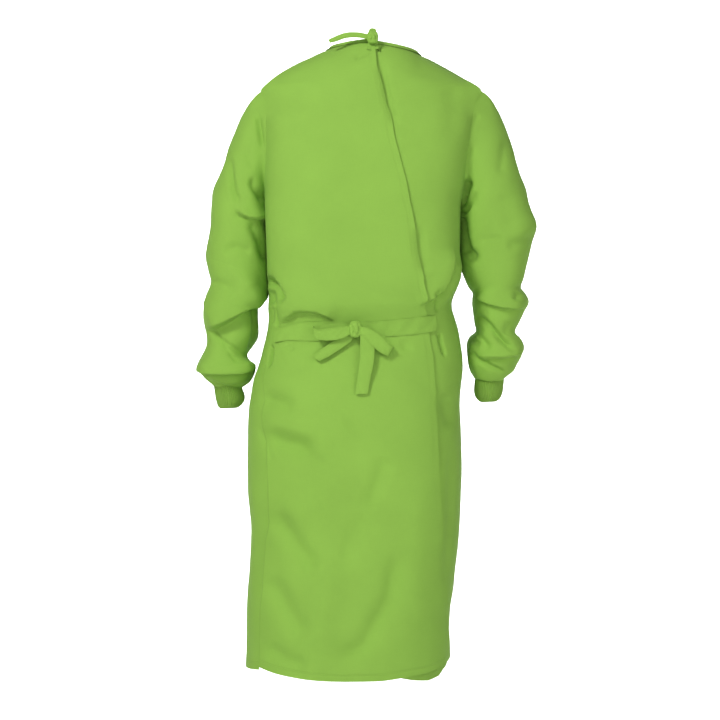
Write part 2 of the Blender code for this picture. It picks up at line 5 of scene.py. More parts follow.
import bmesh
import bpy
import numpy as np
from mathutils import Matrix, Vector


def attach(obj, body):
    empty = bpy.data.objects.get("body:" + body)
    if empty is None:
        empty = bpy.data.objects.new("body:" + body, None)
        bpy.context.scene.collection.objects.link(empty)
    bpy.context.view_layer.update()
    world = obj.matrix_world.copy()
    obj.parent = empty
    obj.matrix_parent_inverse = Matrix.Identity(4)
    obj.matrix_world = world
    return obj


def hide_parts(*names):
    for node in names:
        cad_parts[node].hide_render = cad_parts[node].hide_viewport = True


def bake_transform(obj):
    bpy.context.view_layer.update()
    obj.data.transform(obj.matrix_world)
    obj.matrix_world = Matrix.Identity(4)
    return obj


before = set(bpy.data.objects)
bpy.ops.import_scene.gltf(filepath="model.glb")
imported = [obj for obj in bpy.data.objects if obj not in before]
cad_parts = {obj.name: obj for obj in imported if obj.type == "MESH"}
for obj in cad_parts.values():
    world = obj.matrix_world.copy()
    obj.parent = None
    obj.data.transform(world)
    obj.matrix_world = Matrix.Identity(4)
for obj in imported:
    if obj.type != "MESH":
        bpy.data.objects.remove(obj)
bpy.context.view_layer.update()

# ---------------------------------------------------------------- camera, light and floor
SCALE = 0.001887  # metres across one unit of the 720-unit view plate, at the gown's middle
EYE = (-0.0264, -3.1, -0.585)

camera = bpy.data.objects.new("camera", bpy.data.cameras.new("camera"))
camera.location = EYE
camera.rotation_euler = (math.radians(90.0), 0.0, 0.0)
camera.data.sensor_width = 36.0
camera.data.lens = 36.0 * 3.1 / (720 * SCALE)
camera.data.clip_start, camera.data.clip_end = 0.05, 60.0
bpy.context.scene.collection.objects.link(camera)
bpy.context.scene.camera = camera

world = bpy.data.worlds.new("studio")
bpy.context.scene.world = world
world.use_nodes = True
world.node_tree.nodes["Background"].inputs[0].default_value = (1.0, 1.0, 1.0, 1.0)
world.node_tree.nodes["Background"].inputs[1].default_value = 0.24
bpy.context.scene.view_settings.view_transform = "Standard"


def soft_light(name, place, target, size, power_w):
    lamp = bpy.data.objects.new(name, bpy.data.lights.new(name, "AREA"))
    lamp.data.shape = "DISK"
    lamp.data.size = size
    lamp.data.energy = power_w
    lamp.location = place
    lamp.rotation_euler = (Vector(target) - Vector(place)).to_track_quat("-Z", "Y").to_euler()
    bpy.context.scene.collection.objects.link(lamp)


soft_light("key", (-1.8, -2.5, 1.7), (0.0, 0.0, -0.55), 0.9, 78.0)
soft_light("fill", (2.4, -3.0, 0.0), (0.0, 0.0, -0.6), 2.0, 24.0)
soft_light("front", (0.0, -3.9, -0.2), (0.0, 0.0, -0.6), 1.8, 27.0)
soft_light("backdrop_left", (-1.6, 2.2, 0.9), (-0.3, 4.5, -0.7), 1.2, 105.0)
soft_light("backdrop_right", (1.6, 2.2, 0.9), (0.3, 4.5, -0.7), 1.2, 105.0)


def plain(name, colour, roughness):
    material = bpy.data.materials.new(name)
    material.use_nodes = True
    shader = material.node_tree.nodes["Principled BSDF"]
    shader.inputs["Base Color"].default_value = (*colour, 1.0)
    shader.inputs["Roughness"].default_value = roughness
    return material


def studio_floor():
    """A pale floor that sweeps up behind the gown."""
    rows = [(-6.0, 0.0), (3.0, 0.0)]
    rows += [(3.0 + 1.5 * math.sin(math.radians(a)), 1.5 - 1.5 * math.cos(math.radians(a))) for a in range(10, 91, 10)]
    rows += [(4.5, 7.0)]
    points = [(x, y, -1.62 + z) for y, z in rows for x in (-9.0, 9.0)]
    faces = [(2 * i, 2 * i + 1, 2 * i + 3, 2 * i + 2) for i in range(len(rows) - 1)]
    mesh = bpy.data.meshes.new("studio_floor")
    mesh.from_pydata(points, [], faces)
    mesh.shade_smooth()
    floor = bpy.data.objects.new("studio_floor", mesh)
    bpy.context.scene.collection.objects.link(floor)
    mesh.materials.append(plain("pale_floor", (0.93, 0.93, 0.93), 0.9))


studio_floor()


# ---------------------------------------------------------------- maths
def curve(rows):
    """A function that runs smoothly through a table's rows without overshooting."""
    rows = np.array(sorted(rows), float)
    xs, ys = rows[:, 0], rows[:, 1:]
    d = np.diff(ys, axis=0) / np.diff(xs)[:, None]
    m = np.zeros_like(ys)
    m[0], m[-1] = d[0], d[-1]
    product, total = d[:-1] * d[1:], d[:-1] + d[1:]
    m[1:-1] = np.where(product > 0, 2 * product / np.where(total == 0, 1, total), 0)

    def value(x):
        x = np.clip(np.asarray(x, float), xs[0], xs[-1])
        i = np.clip(np.searchsorted(xs, x, side="right") - 1, 0, len(xs) - 2)
        h = (xs[i + 1] - xs[i])[..., None]
        t = (x - xs[i])[..., None] / h
        a, b = 2 * t**3 - 3 * t**2 + 1, t**3 - 2 * t**2 + t
        c, e = -2 * t**3 + 3 * t**2, t**3 - t**2
        return a * ys[i] + b * h * m[i] + c * ys[i + 1] + e * h * m[i + 1]

    return value


def step(x, low, high):
    t = np.clip((np.asarray(x, float) - low) / (high - low), 0, 1)
    return t * t * (3 - 2 * t)


def power(v, e):
    return np.sign(v) * np.abs(v) ** e


def plate(points):
    """Where points fall on the view plate."""
    k = -EYE[1] / (points[..., 1] - EYE[1])
    return 360 + (points[..., 0] - EYE[0]) / SCALE * k, 360 - (points[..., 2] - EYE[2]) / SCALE * k


def at(u, v, y=0.0):
    """The point at depth y that falls on this place of the view plate."""
    k = (y - EYE[1]) / -EYE[1]
    return np.array([EYE[0] + (u - 360) * SCALE * k, y, EYE[2] - (v - 360) * SCALE * k])


# ---------------------------------------------------------------- the body surface
def edge_rows(rows):
    return [(at(u, v)[2], at(u, v)[0]) for v, u in rows]


left_x = curve(
    [(0.014, -0.0795), (0.0, -0.0820), (-0.0151, -0.1132), (-0.034, -0.1510), (-0.0528, -0.1812), (-0.0717, -0.2050), (-0.079, -0.2122), (-0.090, -0.2150)]
    + [(-0.134, -0.2120), (-0.183, -0.2080), (-0.260, -0.2050), (-0.300, -0.2030), (-0.430, -0.1990), (-0.470, -0.1990)]
    + edge_rows([(308, 268.5), (318, 269), (328, 268), (338, 266), (348, 263.5), (358, 261), (368, 258), (378, 254.3), (388, 252.4), (398, 250.8)])
    + edge_rows([(408, 249.3), (428, 248.3), (458, 248), (488, 248.2), (508, 250), (528, 251.7), (548, 251), (568, 250), (588, 248.2), (608, 247.2), (648, 246.8), (662, 246.2), (690, 247.5)])
)
right_x = curve(
    [(0.014, 0.0800), (0.0, 0.0820), (-0.0151, 0.1080), (-0.034, 0.1385), (-0.0528, 0.1661), (-0.0717, 0.1960), (-0.079, 0.2030), (-0.090, 0.2060)]
    + [(-0.134, 0.1950), (-0.183, 0.1840), (-0.260, 0.1690), (-0.300, 0.1620), (-0.380, 0.1610)]
    + edge_rows([(268, 461), (278, 460), (283, 458.5), (288, 456.5), (298, 452.3), (303, 451), (308, 451.2), (318, 454), (328, 457), (338, 459), (348, 460.5), (358, 461.8), (368, 462)])
    + edge_rows([(388, 460), (404, 459), (428, 460), (468, 461), (498, 460), (528, 458.6), (548, 457), (568, 454.5), (588, 452.6), (608, 449.4), (638, 447.8), (660, 446.6), (690, 446)])
)
depths = curve(
    (
        (0.014, 0.0600, 0.0560, 2.1),
        (0.000, 0.0630, 0.0600, 2.1),
        (-0.015, 0.0730, 0.0700, 2.0),
        (-0.034, 0.0850, 0.0820, 2.0),
        (-0.053, 0.0945, 0.0910, 2.0),
        (-0.072, 0.1020, 0.0980, 2.05),
        (-0.090, 0.1080, 0.1030, 2.1),
        (-0.112, 0.1140, 0.1070, 2.25),
        (-0.140, 0.1200, 0.1110, 2.8),
        (-0.183, 0.1260, 0.1150, 3.2),
        (-0.260, 0.1310, 0.1170, 3.3),
        (-0.300, 0.1320, 0.1160, 3.3),
        (-0.430, 0.1330, 0.1100, 3.2),
        (-0.480, 0.1300, 0.1060, 3.0),
        (-0.528, 0.1180, 0.1020, 2.7),
        (-0.562, 0.1220, 0.1080, 2.6),
        (-0.604, 0.1300, 0.1140, 2.5),
        (-0.676, 0.1380, 0.1200, 2.5),
        (-0.789, 0.1440, 0.1280, 2.5),
        (-0.902, 0.1470, 0.1330, 2.5),
        (-1.015, 0.1490, 0.1370, 2.5),
        (-1.113, 0.1500, 0.1390, 2.5),
        (-1.200, 0.1500, 0.1400, 2.5),
    )
)


def body(angle, z, out=0.0):
    """Points of the body surface: angle 0 is the right side, -90 the back, 90 the front, 180 the left."""
    angle, z, out = np.broadcast_arrays(np.asarray(angle, float), np.asarray(z, float), np.asarray(out, float))
    left, right = left_x(z)[..., 0], right_x(z)[..., 0]
    behind, front, n = np.moveaxis(depths(z), -1, 0)
    c, s = np.cos(np.radians(angle)), np.sin(np.radians(angle))
    depth = np.where(s < 0, behind, front) + out
    x = (left + right) / 2 + ((right - left) / 2 + out) * power(c, 2 / n)
    y = depth * power(s, 2 / n)
    scoop = 0.055 * step(z, -0.16, 0.0) * np.maximum(s, 0) ** 2
    tilt = step(z, -0.075, -0.002) * np.interp(x, [-0.085, 0.0, 0.085], [-0.0030, 0.0045, -0.0075])
    return np.stack([x, y, z - scoop + tilt + out * 0.8 * step(z, -0.11, -0.05)], -1)


def angle_at_x(x, z):
    left, right, n = left_x(z)[..., 0], right_x(z)[..., 0], depths(z)[..., 2]
    c = np.clip((x - (left + right) / 2) / ((right - left) / 2), -1, 1)
    return -np.degrees(np.arccos(np.clip(power(c, n / 2), -1, 1)))


def lean_at_y(y, z, behind):
    d = depths(z)
    depth, n = (d[..., 0] if behind else d[..., 1]), d[..., 2]
    return np.degrees(np.arcsin(np.clip(np.abs(y) / depth, 0, 1) ** (n / 2)))


def on_back(u, v, out=0.0):
    """The angle and level on the back that fall on this place of the view plate."""
    y = -0.12
    for _ in range(6):
        p = at(u, v, y)
        a = float(angle_at_x(p[0], p[2]))
        y = float(body(a, p[2], out)[1])
    return a, float(p[2])


def back_point(u, v, out=0.0):
    a, z = on_back(u, v, out)
    p = body(a, z, out)
    p[2] = z
    return p


def edge_table(places):
    return curve([(z, a) for a, z in (on_back(u, v) for u, v in places)])


FLAP_EDGE = edge_table(
    [(374.4, 44), (375, 51), (376, 60), (380.4, 78), (386, 102), (393, 130), (398.3, 153), (408.5, 200), (414.8, 236), (418.4, 260), (422, 281.5), (424, 301)]
    + [(426, 320), (429, 340), (431.5, 353), (433, 371), (434.7, 399), (436.3, 434), (437.4, 466), (439.2, 496), (441.8, 558), (444.4, 592), (447, 649), (449.8, 672), (450.5, 690)]
)
UNDER_EDGE = curve([(z, float(angle_at_x(x, z))) for z, x in ((0.014, -0.006), (0.0, -0.008), (-0.125, -0.028), (-0.30, -0.05), (-0.53, -0.07), (-1.2, -0.095))])
SEAM_LEFT = curve(
    [(0.05, -180.0), (-0.30, -180.0), (-0.44, -176.0)]
    + [(z, a) for a, z in (on_back(u, v) for u, v in [(272.5, 316), (270.5, 340), (267, 360), (263.5, 390), (263, 424), (267, 459), (268.5, 492), (268.8, 518), (266, 544), (263.3, 578), (260.5, 613), (259.6, 659), (259.4, 700)])]
)

ARM_Z, ARM_H, ARM_D = -0.1870, 0.1080, 0.0690
HEM_Z = -1.1660
flap_hem = curve(((0.0, -1.1455), (0.163, -1.1545), (0.388, -1.1620), (0.485, -1.1617), (0.58, -1.1580), (0.69, -1.1539), (0.80, -1.1495), (0.884, -1.1446), (1.0, -1.1383)))


def hole_y(z):
    t = (z - ARM_Z) / ARM_H
    m = 2.0
    return ARM_D * np.clip(1 - np.abs(t) ** m, 0, 1) ** (1 / m)


def side_angle(z, behind, left_side):
    """The angle of a panel's side edge: shoulder seam, then armhole, then side seam."""
    lean = lean_at_y(hole_y(z), z, behind)
    if left_side:
        seam = np.where(z < ARM_Z - ARM_H, SEAM_LEFT(z)[..., 0], -180.0)
        if behind:
            return np.where(z < ARM_Z - ARM_H, seam, -180.0 + lean)
        return np.where(z < ARM_Z - ARM_H, 360.0 + seam, 180.0 - lean)
    return np.where(z < ARM_Z - ARM_H, 0.0, -lean if behind else lean)


FINE = 0.0034
levels = list(np.arange(0.0, ARM_Z + ARM_H, -0.0028))
levels += [ARM_Z + ARM_H * math.sin(math.radians(a)) for a in np.linspace(90, -90, 46)]
levels += list(np.linspace(ARM_Z - ARM_H - 0.0022, HEM_Z, int(0.87 / FINE)))
LEVELS = np.array(levels)


# ---------------------------------------------------------------- folds
def along(u, v, line):
    """Signed distance to a line on the view plate, positive above a line drawn from left to right, and the share run along it."""
    line = np.array(line, float)
    lengths = np.linalg.norm(np.diff(line, axis=0), axis=1)
    total, run = lengths.sum(), 0.0
    best, side, share = np.full(u.shape, 1e9), np.zeros(u.shape), np.zeros(u.shape)
    for (a, b), length in zip(zip(line[:-1], line[1:]), lengths):
        d = (b - a) / length
        t = (u - a[0]) * d[0] + (v - a[1]) * d[1]
        tc = np.clip(t, 0, length)
        distance = np.hypot(u - a[0] - tc * d[0], v - a[1] - tc * d[1])
        across = (u - a[0]) * d[1] - (v - a[1]) * d[0]
        nearer = distance < best
        best = np.where(nearer, distance, best)
        side = np.where(nearer, np.where(across >= 0, 1.0, -1.0), side)
        share = np.where(nearer, (run + tc) / total, share)
        run += length
    return best, side, share


GAIN = 1.6


def folds(u, v, table):
    """How far the cloth stands out, in metres, from creases, ridges and laps drawn on the view plate."""
    total = np.zeros(u.shape)
    for kind, line, height, *widths in table:
        d, side, share = along(u, v, line)
        ends = step(share, -0.02, 0.22) * step(1 - share, -0.02, 0.22)
        if kind == "g":
            total += GAIN * height * np.exp(-((d / widths[0]) ** 2)) * ends
        elif kind == "b":  # a round dent or swelling with soft ends
            total += GAIN * height * np.exp(-((d / widths[0]) ** 2))
        else:  # a lap: one side stands over the other
            s = d * side
            over = 0.5 * (1 + np.tanh(s / 0.7))
            total += height * ends * (over * np.exp(-((s / widths[0]) ** 2)) - 0.45 * (1 - over) * np.exp(-((s / widths[1]) ** 2)))
    return total


BODY_FOLDS = (
    ("g", [(378.5, 46), (380, 51)], -0.0030, 2.0),
    ("g", [(373, 50), (364, 54), (354, 59)], -0.0016, 2.8),
    ("g", [(380, 58), (384, 76), (389, 100), (396, 128)], -0.0035, 4.5),
    ("b", [(424, 66), (440, 74), (456, 86)], -0.0022, 12.0),
    ("g", [(450, 84), (454, 104), (452, 140)], -0.0020, 10.0),
    ("g", [(330, 60), (300, 84), (285, 120)], -0.0016, 12.0),
    ("g", [(418, 226), (422, 258), (428, 275)], -0.0030, 6.0),
    # the torso blouses over the tie
    ("s", [(279, 325), (296, 312.4), (303, 311.4), (318, 313), (328, 317.5), (336, 322)], 0.0070, 15.0, 8.0),
    ("s", [(418, 306), (428, 302), (440.6, 292), (446.4, 283), (451.5, 270), (455, 246)], 0.0110, 12.0, 5.5),
    ("g", [(460, 258), (456, 278), (447, 295), (436, 306)], 0.0042, 4.0),
    ("b", [(269, 282), (274, 288), (279, 297)], -0.0120, 4.2),
    ("b", [(268, 294), (270, 300)], -0.0080, 4.0),
    ("g", [(275.0, 300), (275.6, 314), (277.4, 328)], -0.0050, 1.7),
    ("g", [(272.0, 306), (272.4, 324)], -0.0030, 1.5),
    ("g", [(271.6, 344), (270.6, 356), (268.0, 368)], -0.0062, 1.7),
    ("g", [(437.4, 300), (436.4, 312)], -0.0032, 1.8),
    ("g", [(438.6, 332), (441, 343), (445.5, 357)], -0.0044, 1.9),
    ("g", [(433, 296), (441, 288)], -0.0030, 2.4),
    ("b", [(405, 345), (406, 347)], -0.0022, 5.0),
    ("g", [(286, 344), (292, 352)], -0.0012, 4.0),
    ("g", [(349, 339), (335, 348), (320, 362)], -0.0022, 5.0),
    # soft folds of the skirt
    ("b", [(270, 400), (284, 404)], -0.0062, 9.0),
    ("g", [(259, 424), (264, 440), (272, 462)], -0.0012, 3.0),
    ("b", [(278, 440), (290, 444), (302, 447)], -0.0080, 11.0),
    ("g", [(258, 422), (290, 430), (334, 436)], 0.0022, 9.0),
    ("g", [(318, 462), (330, 440), (352, 420)], 0.0030, 16.0),
    ("g", [(272, 510), (292, 540), (318, 574)], -0.0064, 10.0),
    ("g", [(322, 500), (300, 512), (280, 500)], 0.0022, 12.0),
    ("g", [(268, 575), (284, 606), (306, 640)], -0.0060, 11.0),
    ("g", [(264, 644), (284, 660), (308, 668)], -0.0045, 9.0),
    ("g", [(334, 560), (322, 610), (318, 655)], 0.0035, 14.0),
    ("g", [(398, 548), (390, 600), (364, 646), (330, 668)], -0.0056, 10.0),
    ("g", [(388, 455), (378, 485), (366, 512)], -0.0030, 9.0),
    ("g", [(366, 512), (352, 545), (340, 575)], -0.0022, 10.0),
    ("g", [(420, 480), (416, 560), (414, 640)], 0.0022, 14.0),
    ("b", [(446, 405), (450, 420)], -0.0040, 7.0),
    ("g", [(452, 440), (450, 520), (446, 590)], -0.0025, 5.0),
    ("g", [(252, 470), (256, 520), (252, 600)], 0.0016, 4.0),
    ("b", [(340, 200), (330, 240)], 0.0020, 40.0),
)
LEFT_FOLDS = (
    ("g", [(257, 112), (260, 130), (265, 150)], -0.0045, 3.0),
    ("g", [(229.2, 156), (230.4, 172), (233, 190), (240, 206)], -0.0042, 3.2),
    ("g", [(249, 178), (256, 190), (266, 202)], -0.0050, 4.0),
    ("g", [(246, 150), (252, 168)], -0.0018, 4.5),
    ("s", [(234, 209), (240, 214.4), (249, 218.6), (266, 219.6), (274, 219.6)], 0.0095, 9.0, 7.0),
    ("b", [(254, 228), (261, 241), (266, 256)], -0.0050, 5.5),
    ("g", [(222, 253), (236, 247), (252, 252)], -0.0026, 4.5),
    ("g", [(212, 283), (222, 284), (236, 290)], -0.0022, 5.0),
    ("g", [(226, 268), (240, 276), (252, 290)], 0.0022, 8.0),
    ("s", [(206, 331), (215.6, 328), (231.7, 319.4), (253.5, 305.4), (270, 297)], 0.0150, 26.0, 12.0),
    ("b", [(257, 308), (256, 330), (252, 348)], -0.0040, 3.0),
    ("g", [(206, 327), (216, 336.5), (229, 346), (246, 355)], -0.0034, 2.6),
    ("g", [(221, 343), (230, 354), (238, 364)], -0.0016, 2.0),
    ("s", [(192, 369), (200, 371.4), (212, 373.2), (222, 373.8), (240, 373), (250, 370), (259, 364)], 0.0120, 10.0, 5.0),
    ("g", [(206, 378), (212, 383), (227, 388), (242, 385)], -0.0030, 2.4),
)
RIGHT_FOLDS = (
    ("g", [(478, 110), (472, 122), (467, 138)], -0.0040, 3.2),
    ("g", [(472, 145), (467, 158), (463.5, 174)], -0.0042, 2.8),
    ("g", [(470, 178), (464, 190), (457, 209)], -0.0090, 4.0),
    ("g", [(477, 192), (470, 202), (463, 210)], -0.0024, 3.0),
    ("g", [(506, 138), (503, 156), (500.5, 176)], -0.0022, 5.0),
    ("s", [(457, 212), (463, 215.5), (469, 211.5), (472.5, 204)], -0.0040, 5.0, 5.0),
    ("b", [(460, 222), (462, 238), (466, 250), (472, 256)], -0.0085, 5.0),
    ("g", [(478, 240), (490, 238.6), (504, 238)], -0.0010, 3.0),
    ("g", [(506, 247), (522, 243), (537, 235)], -0.0026, 6.0),
    ("g", [(503, 192), (511, 218), (506, 234)], -0.0016, 9.0),
    ("s", [(471, 293), (478, 299), (488, 304.2), (500, 307.8), (513, 309.4), (528, 308)], 0.0080, 9.0, 6.0),
    ("g", [(519, 292), (516, 301)], -0.0030, 4.0),
    ("g", [(474, 313), (488, 325), (502, 340), (516, 352)], -0.0056, 3.2),
    ("g", [(476, 332), (483, 341), (491, 350)], -0.0036, 3.4),
    ("b", [(471, 338), (476, 343)], -0.0040, 3.6),
    ("g", [(511, 322), (504, 334)], -0.0022, 4.0),
    ("s", [(474, 359.5), (490, 358.4), (506, 357.4), (518, 355), (526, 349)], 0.0080, 7.0, 4.0),
    ("g", [(468, 351), (478, 359), (492, 367), (508, 374.5)], -0.0044, 2.6),
    ("s", [(470, 374.5), (478, 378.6), (490, 381), (500, 380), (509, 375.5)], 0.0044, 6.0, 3.0),
)


# ---------------------------------------------------------------- meshes
def normals_of(P, closed=False, centre=None):
    if closed:
        across = np.roll(P, -1, 1) - np.roll(P, 1, 1)
    else:
        across = np.gradient(P, axis=1)
    down = np.gradient(P, axis=0)
    N = np.cross(across, down)
    length = np.linalg.norm(N, axis=-1, keepdims=True)
    N = N / np.where(length < 1e-12, 1, length)
    for r in np.where((length < 1e-12).any(axis=(1, 2)))[0]:
        N[r] = N[min(r + 1, len(N) - 1)]
    if centre is not None and (N * (P - centre(P))).sum() < 0:
        N = -N
    return N


def smooth(field, times, closed=False):
    for _ in range(times):
        padded = np.pad(field, ((1, 1), (0, 0)) + ((0, 0),) * (field.ndim - 2), mode="edge")
        field = (padded[:-2] + 2 * padded[1:-1] + padded[2:]) / 4
        if closed:
            field = (np.roll(field, 1, 1) + 2 * field + np.roll(field, -1, 1)) / 4
        else:
            padded = np.pad(field, ((0, 0), (1, 1)) + ((0, 0),) * (field.ndim - 2), mode="edge")
            field = (padded[:, :-2] + 2 * padded[:, 1:-1] + padded[:, 2:]) / 4
    return field


def arc(P, axis):
    steps = np.linalg.norm(np.diff(P, axis=axis), axis=-1)
    pad = [(0, 0), (0, 0)]
    pad[axis] = (1, 0)
    return np.pad(np.cumsum(steps, axis=axis), pad)


def shoulder_normals(P, N):
    """One soft run of shading from the yoke into the sleeve head, where no corner shows."""
    x, z = P[..., 0], P[..., 2]
    side = np.where(x < 0, -1.0, 1.0)
    rim = np.where(x < 0, 0.2060, 0.1950)
    near = np.exp(-(((side * x - rim) / 0.024) ** 4)) * step(z, -0.145, -0.112) * step(np.abs(N[..., 1]), 0.05, 0.35)
    target = np.stack([side * 0.42, np.sign(N[..., 1]) * 0.80, 0 * x + 0.42], -1)
    mixed = N * (1 - near[..., None]) + target * near[..., None]
    return mixed / np.maximum(np.linalg.norm(mixed, axis=-1, keepdims=True), 1e-9)


def shell(name, P, N, thickness, material, slot, closed=False, hem=None, edge=None, both_closed=False):
    """A cloth piece as one closed body: its outer face, an inner face and the cut edges between them."""
    if DEBUG:
        Q = np.concatenate([P, P[:, :1]], 1) if closed else P
        w, h = arc(Q, 1)[:, -1], arc(Q, 0)[-1]
        e1, e2 = Q[1:, :-1] - Q[:-1, :-1], Q[:-1, 1:] - Q[:-1, :-1]
        print("PIECE %-28s width max %.3f mean %.3f  length max %.3f mean %.3f  area %.4f" % (name, w.max(), w.mean(), h.max(), h.mean(), np.linalg.norm(np.cross(e1, e2), axis=-1).sum()))
    R, C = P.shape[:2]
    count = R * C
    V = np.concatenate([P.reshape(-1, 3), (P - N * thickness).reshape(-1, 3)])
    idx = np.arange(count).reshape(R, C)
    nxt = np.roll(idx, -1, 1) if closed else idx[:, 1:]
    cur = idx if closed else idx[:, :-1]
    if both_closed:
        quads = np.stack([cur, np.roll(cur, -1, 0), np.roll(nxt, -1, 0), nxt], -1).reshape(-1, 4)
    else:
        quads = np.stack([cur[:-1], cur[1:], nxt[1:], nxt[:-1]], -1).reshape(-1, 4)
    a, b, d = V[quads[:, 0]], V[quads[:, 1]], V[quads[:, 3]]
    facing = (np.cross(b - a, d - a) * N.reshape(-1, 3)[quads[:, 0]]).sum()
    if facing < 0:
        quads = quads[:, ::-1]
    faces = [quads, quads[:, ::-1] + count]
    rims = []
    if not both_closed:
        rims += [(cur[0], nxt[0]), (nxt[-1], cur[-1])]
    if not closed:
        rims += [(idx[1:, 0], idx[:-1, 0]), (idx[:-1, -1], idx[1:, -1])]
    for p, q in rims:
        rim = np.stack([p, q, q + count, p + count], -1)
        faces.append(rim if facing > 0 else rim[:, ::-1])
    faces = np.concatenate(faces)
    mesh = bpy.data.meshes.new(name)
    mesh.vertices.add(len(V))
    mesh.vertices.foreach_set("co", V.astype(np.float32).ravel())
    mesh.loops.add(faces.size)
    mesh.loops.foreach_set("vertex_index", faces.astype(np.int32).ravel())
    mesh.polygons.add(len(faces))
    mesh.polygons.foreach_set("loop_start", np.arange(0, faces.size, 4, dtype=np.int32))
    mesh.update(calc_edges=True)
    mesh.validate()
    if closed:
        total = np.linalg.norm(P - np.roll(P, -1, 1), axis=-1).sum(1).max()
        U = np.linspace(0, total, C, endpoint=False)[None].repeat(R, 0)
    else:
        U = arc(P, 1)
        U = U - U[:, C // 2 : C // 2 + 1]
    W = arc(P, 0)[:, C // 2 : C // 2 + 1].repeat(C, 1)
    for layer, (s, t) in {"weave": (U, W), "hem": hem or (U, W + 1), "edge": edge or (U, W + 1)}.items():
        uv = mesh.uv_layers.new(name=layer)
        flat = np.stack([np.broadcast_to(s, (R, C)), np.broadcast_to(t, (R, C))], -1).reshape(-1, 2)
        flat = np.concatenate([flat, flat])
        loops = np.empty(len(mesh.loops), np.int32)
        mesh.loops.foreach_get("vertex_index", loops)
        uv.data.foreach_set("uv", flat[loops].astype(np.float32).ravel())
    mesh.shade_smooth()
    if slot in ("body_cloth", "sleeve_cloth", "seam_cloth"):
        N = shoulder_normals(P, N)
    both = np.concatenate([N.reshape(-1, 3), -N.reshape(-1, 3)])
    mesh.normals_split_custom_set_from_vertices(both.tolist())
    mesh.materials.append(material)
    obj = bpy.data.objects.new(name, mesh)
    bpy.context.scene.collection.objects.link(obj)
    return obj


# ---------------------------------------------------------------- materials
GREEN = (0.262, 0.480, 0.072)


class Nodes:
    """A short way to write shader maths."""

    def __init__(self, material):
        self.tree = material.node_tree
        self.shader = self.tree.nodes["Principled BSDF"]

    def add(self, kind, inputs=(), **settings):
        node = self.tree.nodes.new(kind)
        for key, value in settings.items():
            setattr(node, key, value)
        for key, value in dict(inputs).items():
            if isinstance(value, bpy.types.NodeSocket):
                self.tree.links.new(value, node.inputs[key])
            else:
                node.inputs[key].default_value = value
        return node

    def math(self, operation, a, b=0.0, c=0.0):
        return self.add("ShaderNodeMath", {0: a, 1: b, 2: c}, operation=operation).outputs[0]

    def uv(self, name):
        split = self.add("ShaderNodeSeparateXYZ", {0: self.add("ShaderNodeUVMap", uv_map=name).outputs[0]})
        return split.outputs[0], split.outputs[1]

    def line(self, name, offset, width=0.00042, period=0.0031, dash=0.74):
        """A row of stitches at this distance from an edge."""
        s, t = self.uv(name)
        near = self.math("LESS_THAN", self.math("ABSOLUTE", self.math("SUBTRACT", t, offset)), width)
        return self.math("MULTIPLY", near, self.math("LESS_THAN", self.math("FRACT", self.math("DIVIDE", s, period)), dash))

    def groove(self, name, offset, width):
        """A soft dip where stitches pull the cloth in; the same mask also paints shade into the colour there."""
        _, t = self.uv(name)
        away = self.math("DIVIDE", self.math("ABSOLUTE", self.math("SUBTRACT", t, offset)), width)
        return self.math("MAXIMUM", self.math("SUBTRACT", 1.0, away), 0.0)


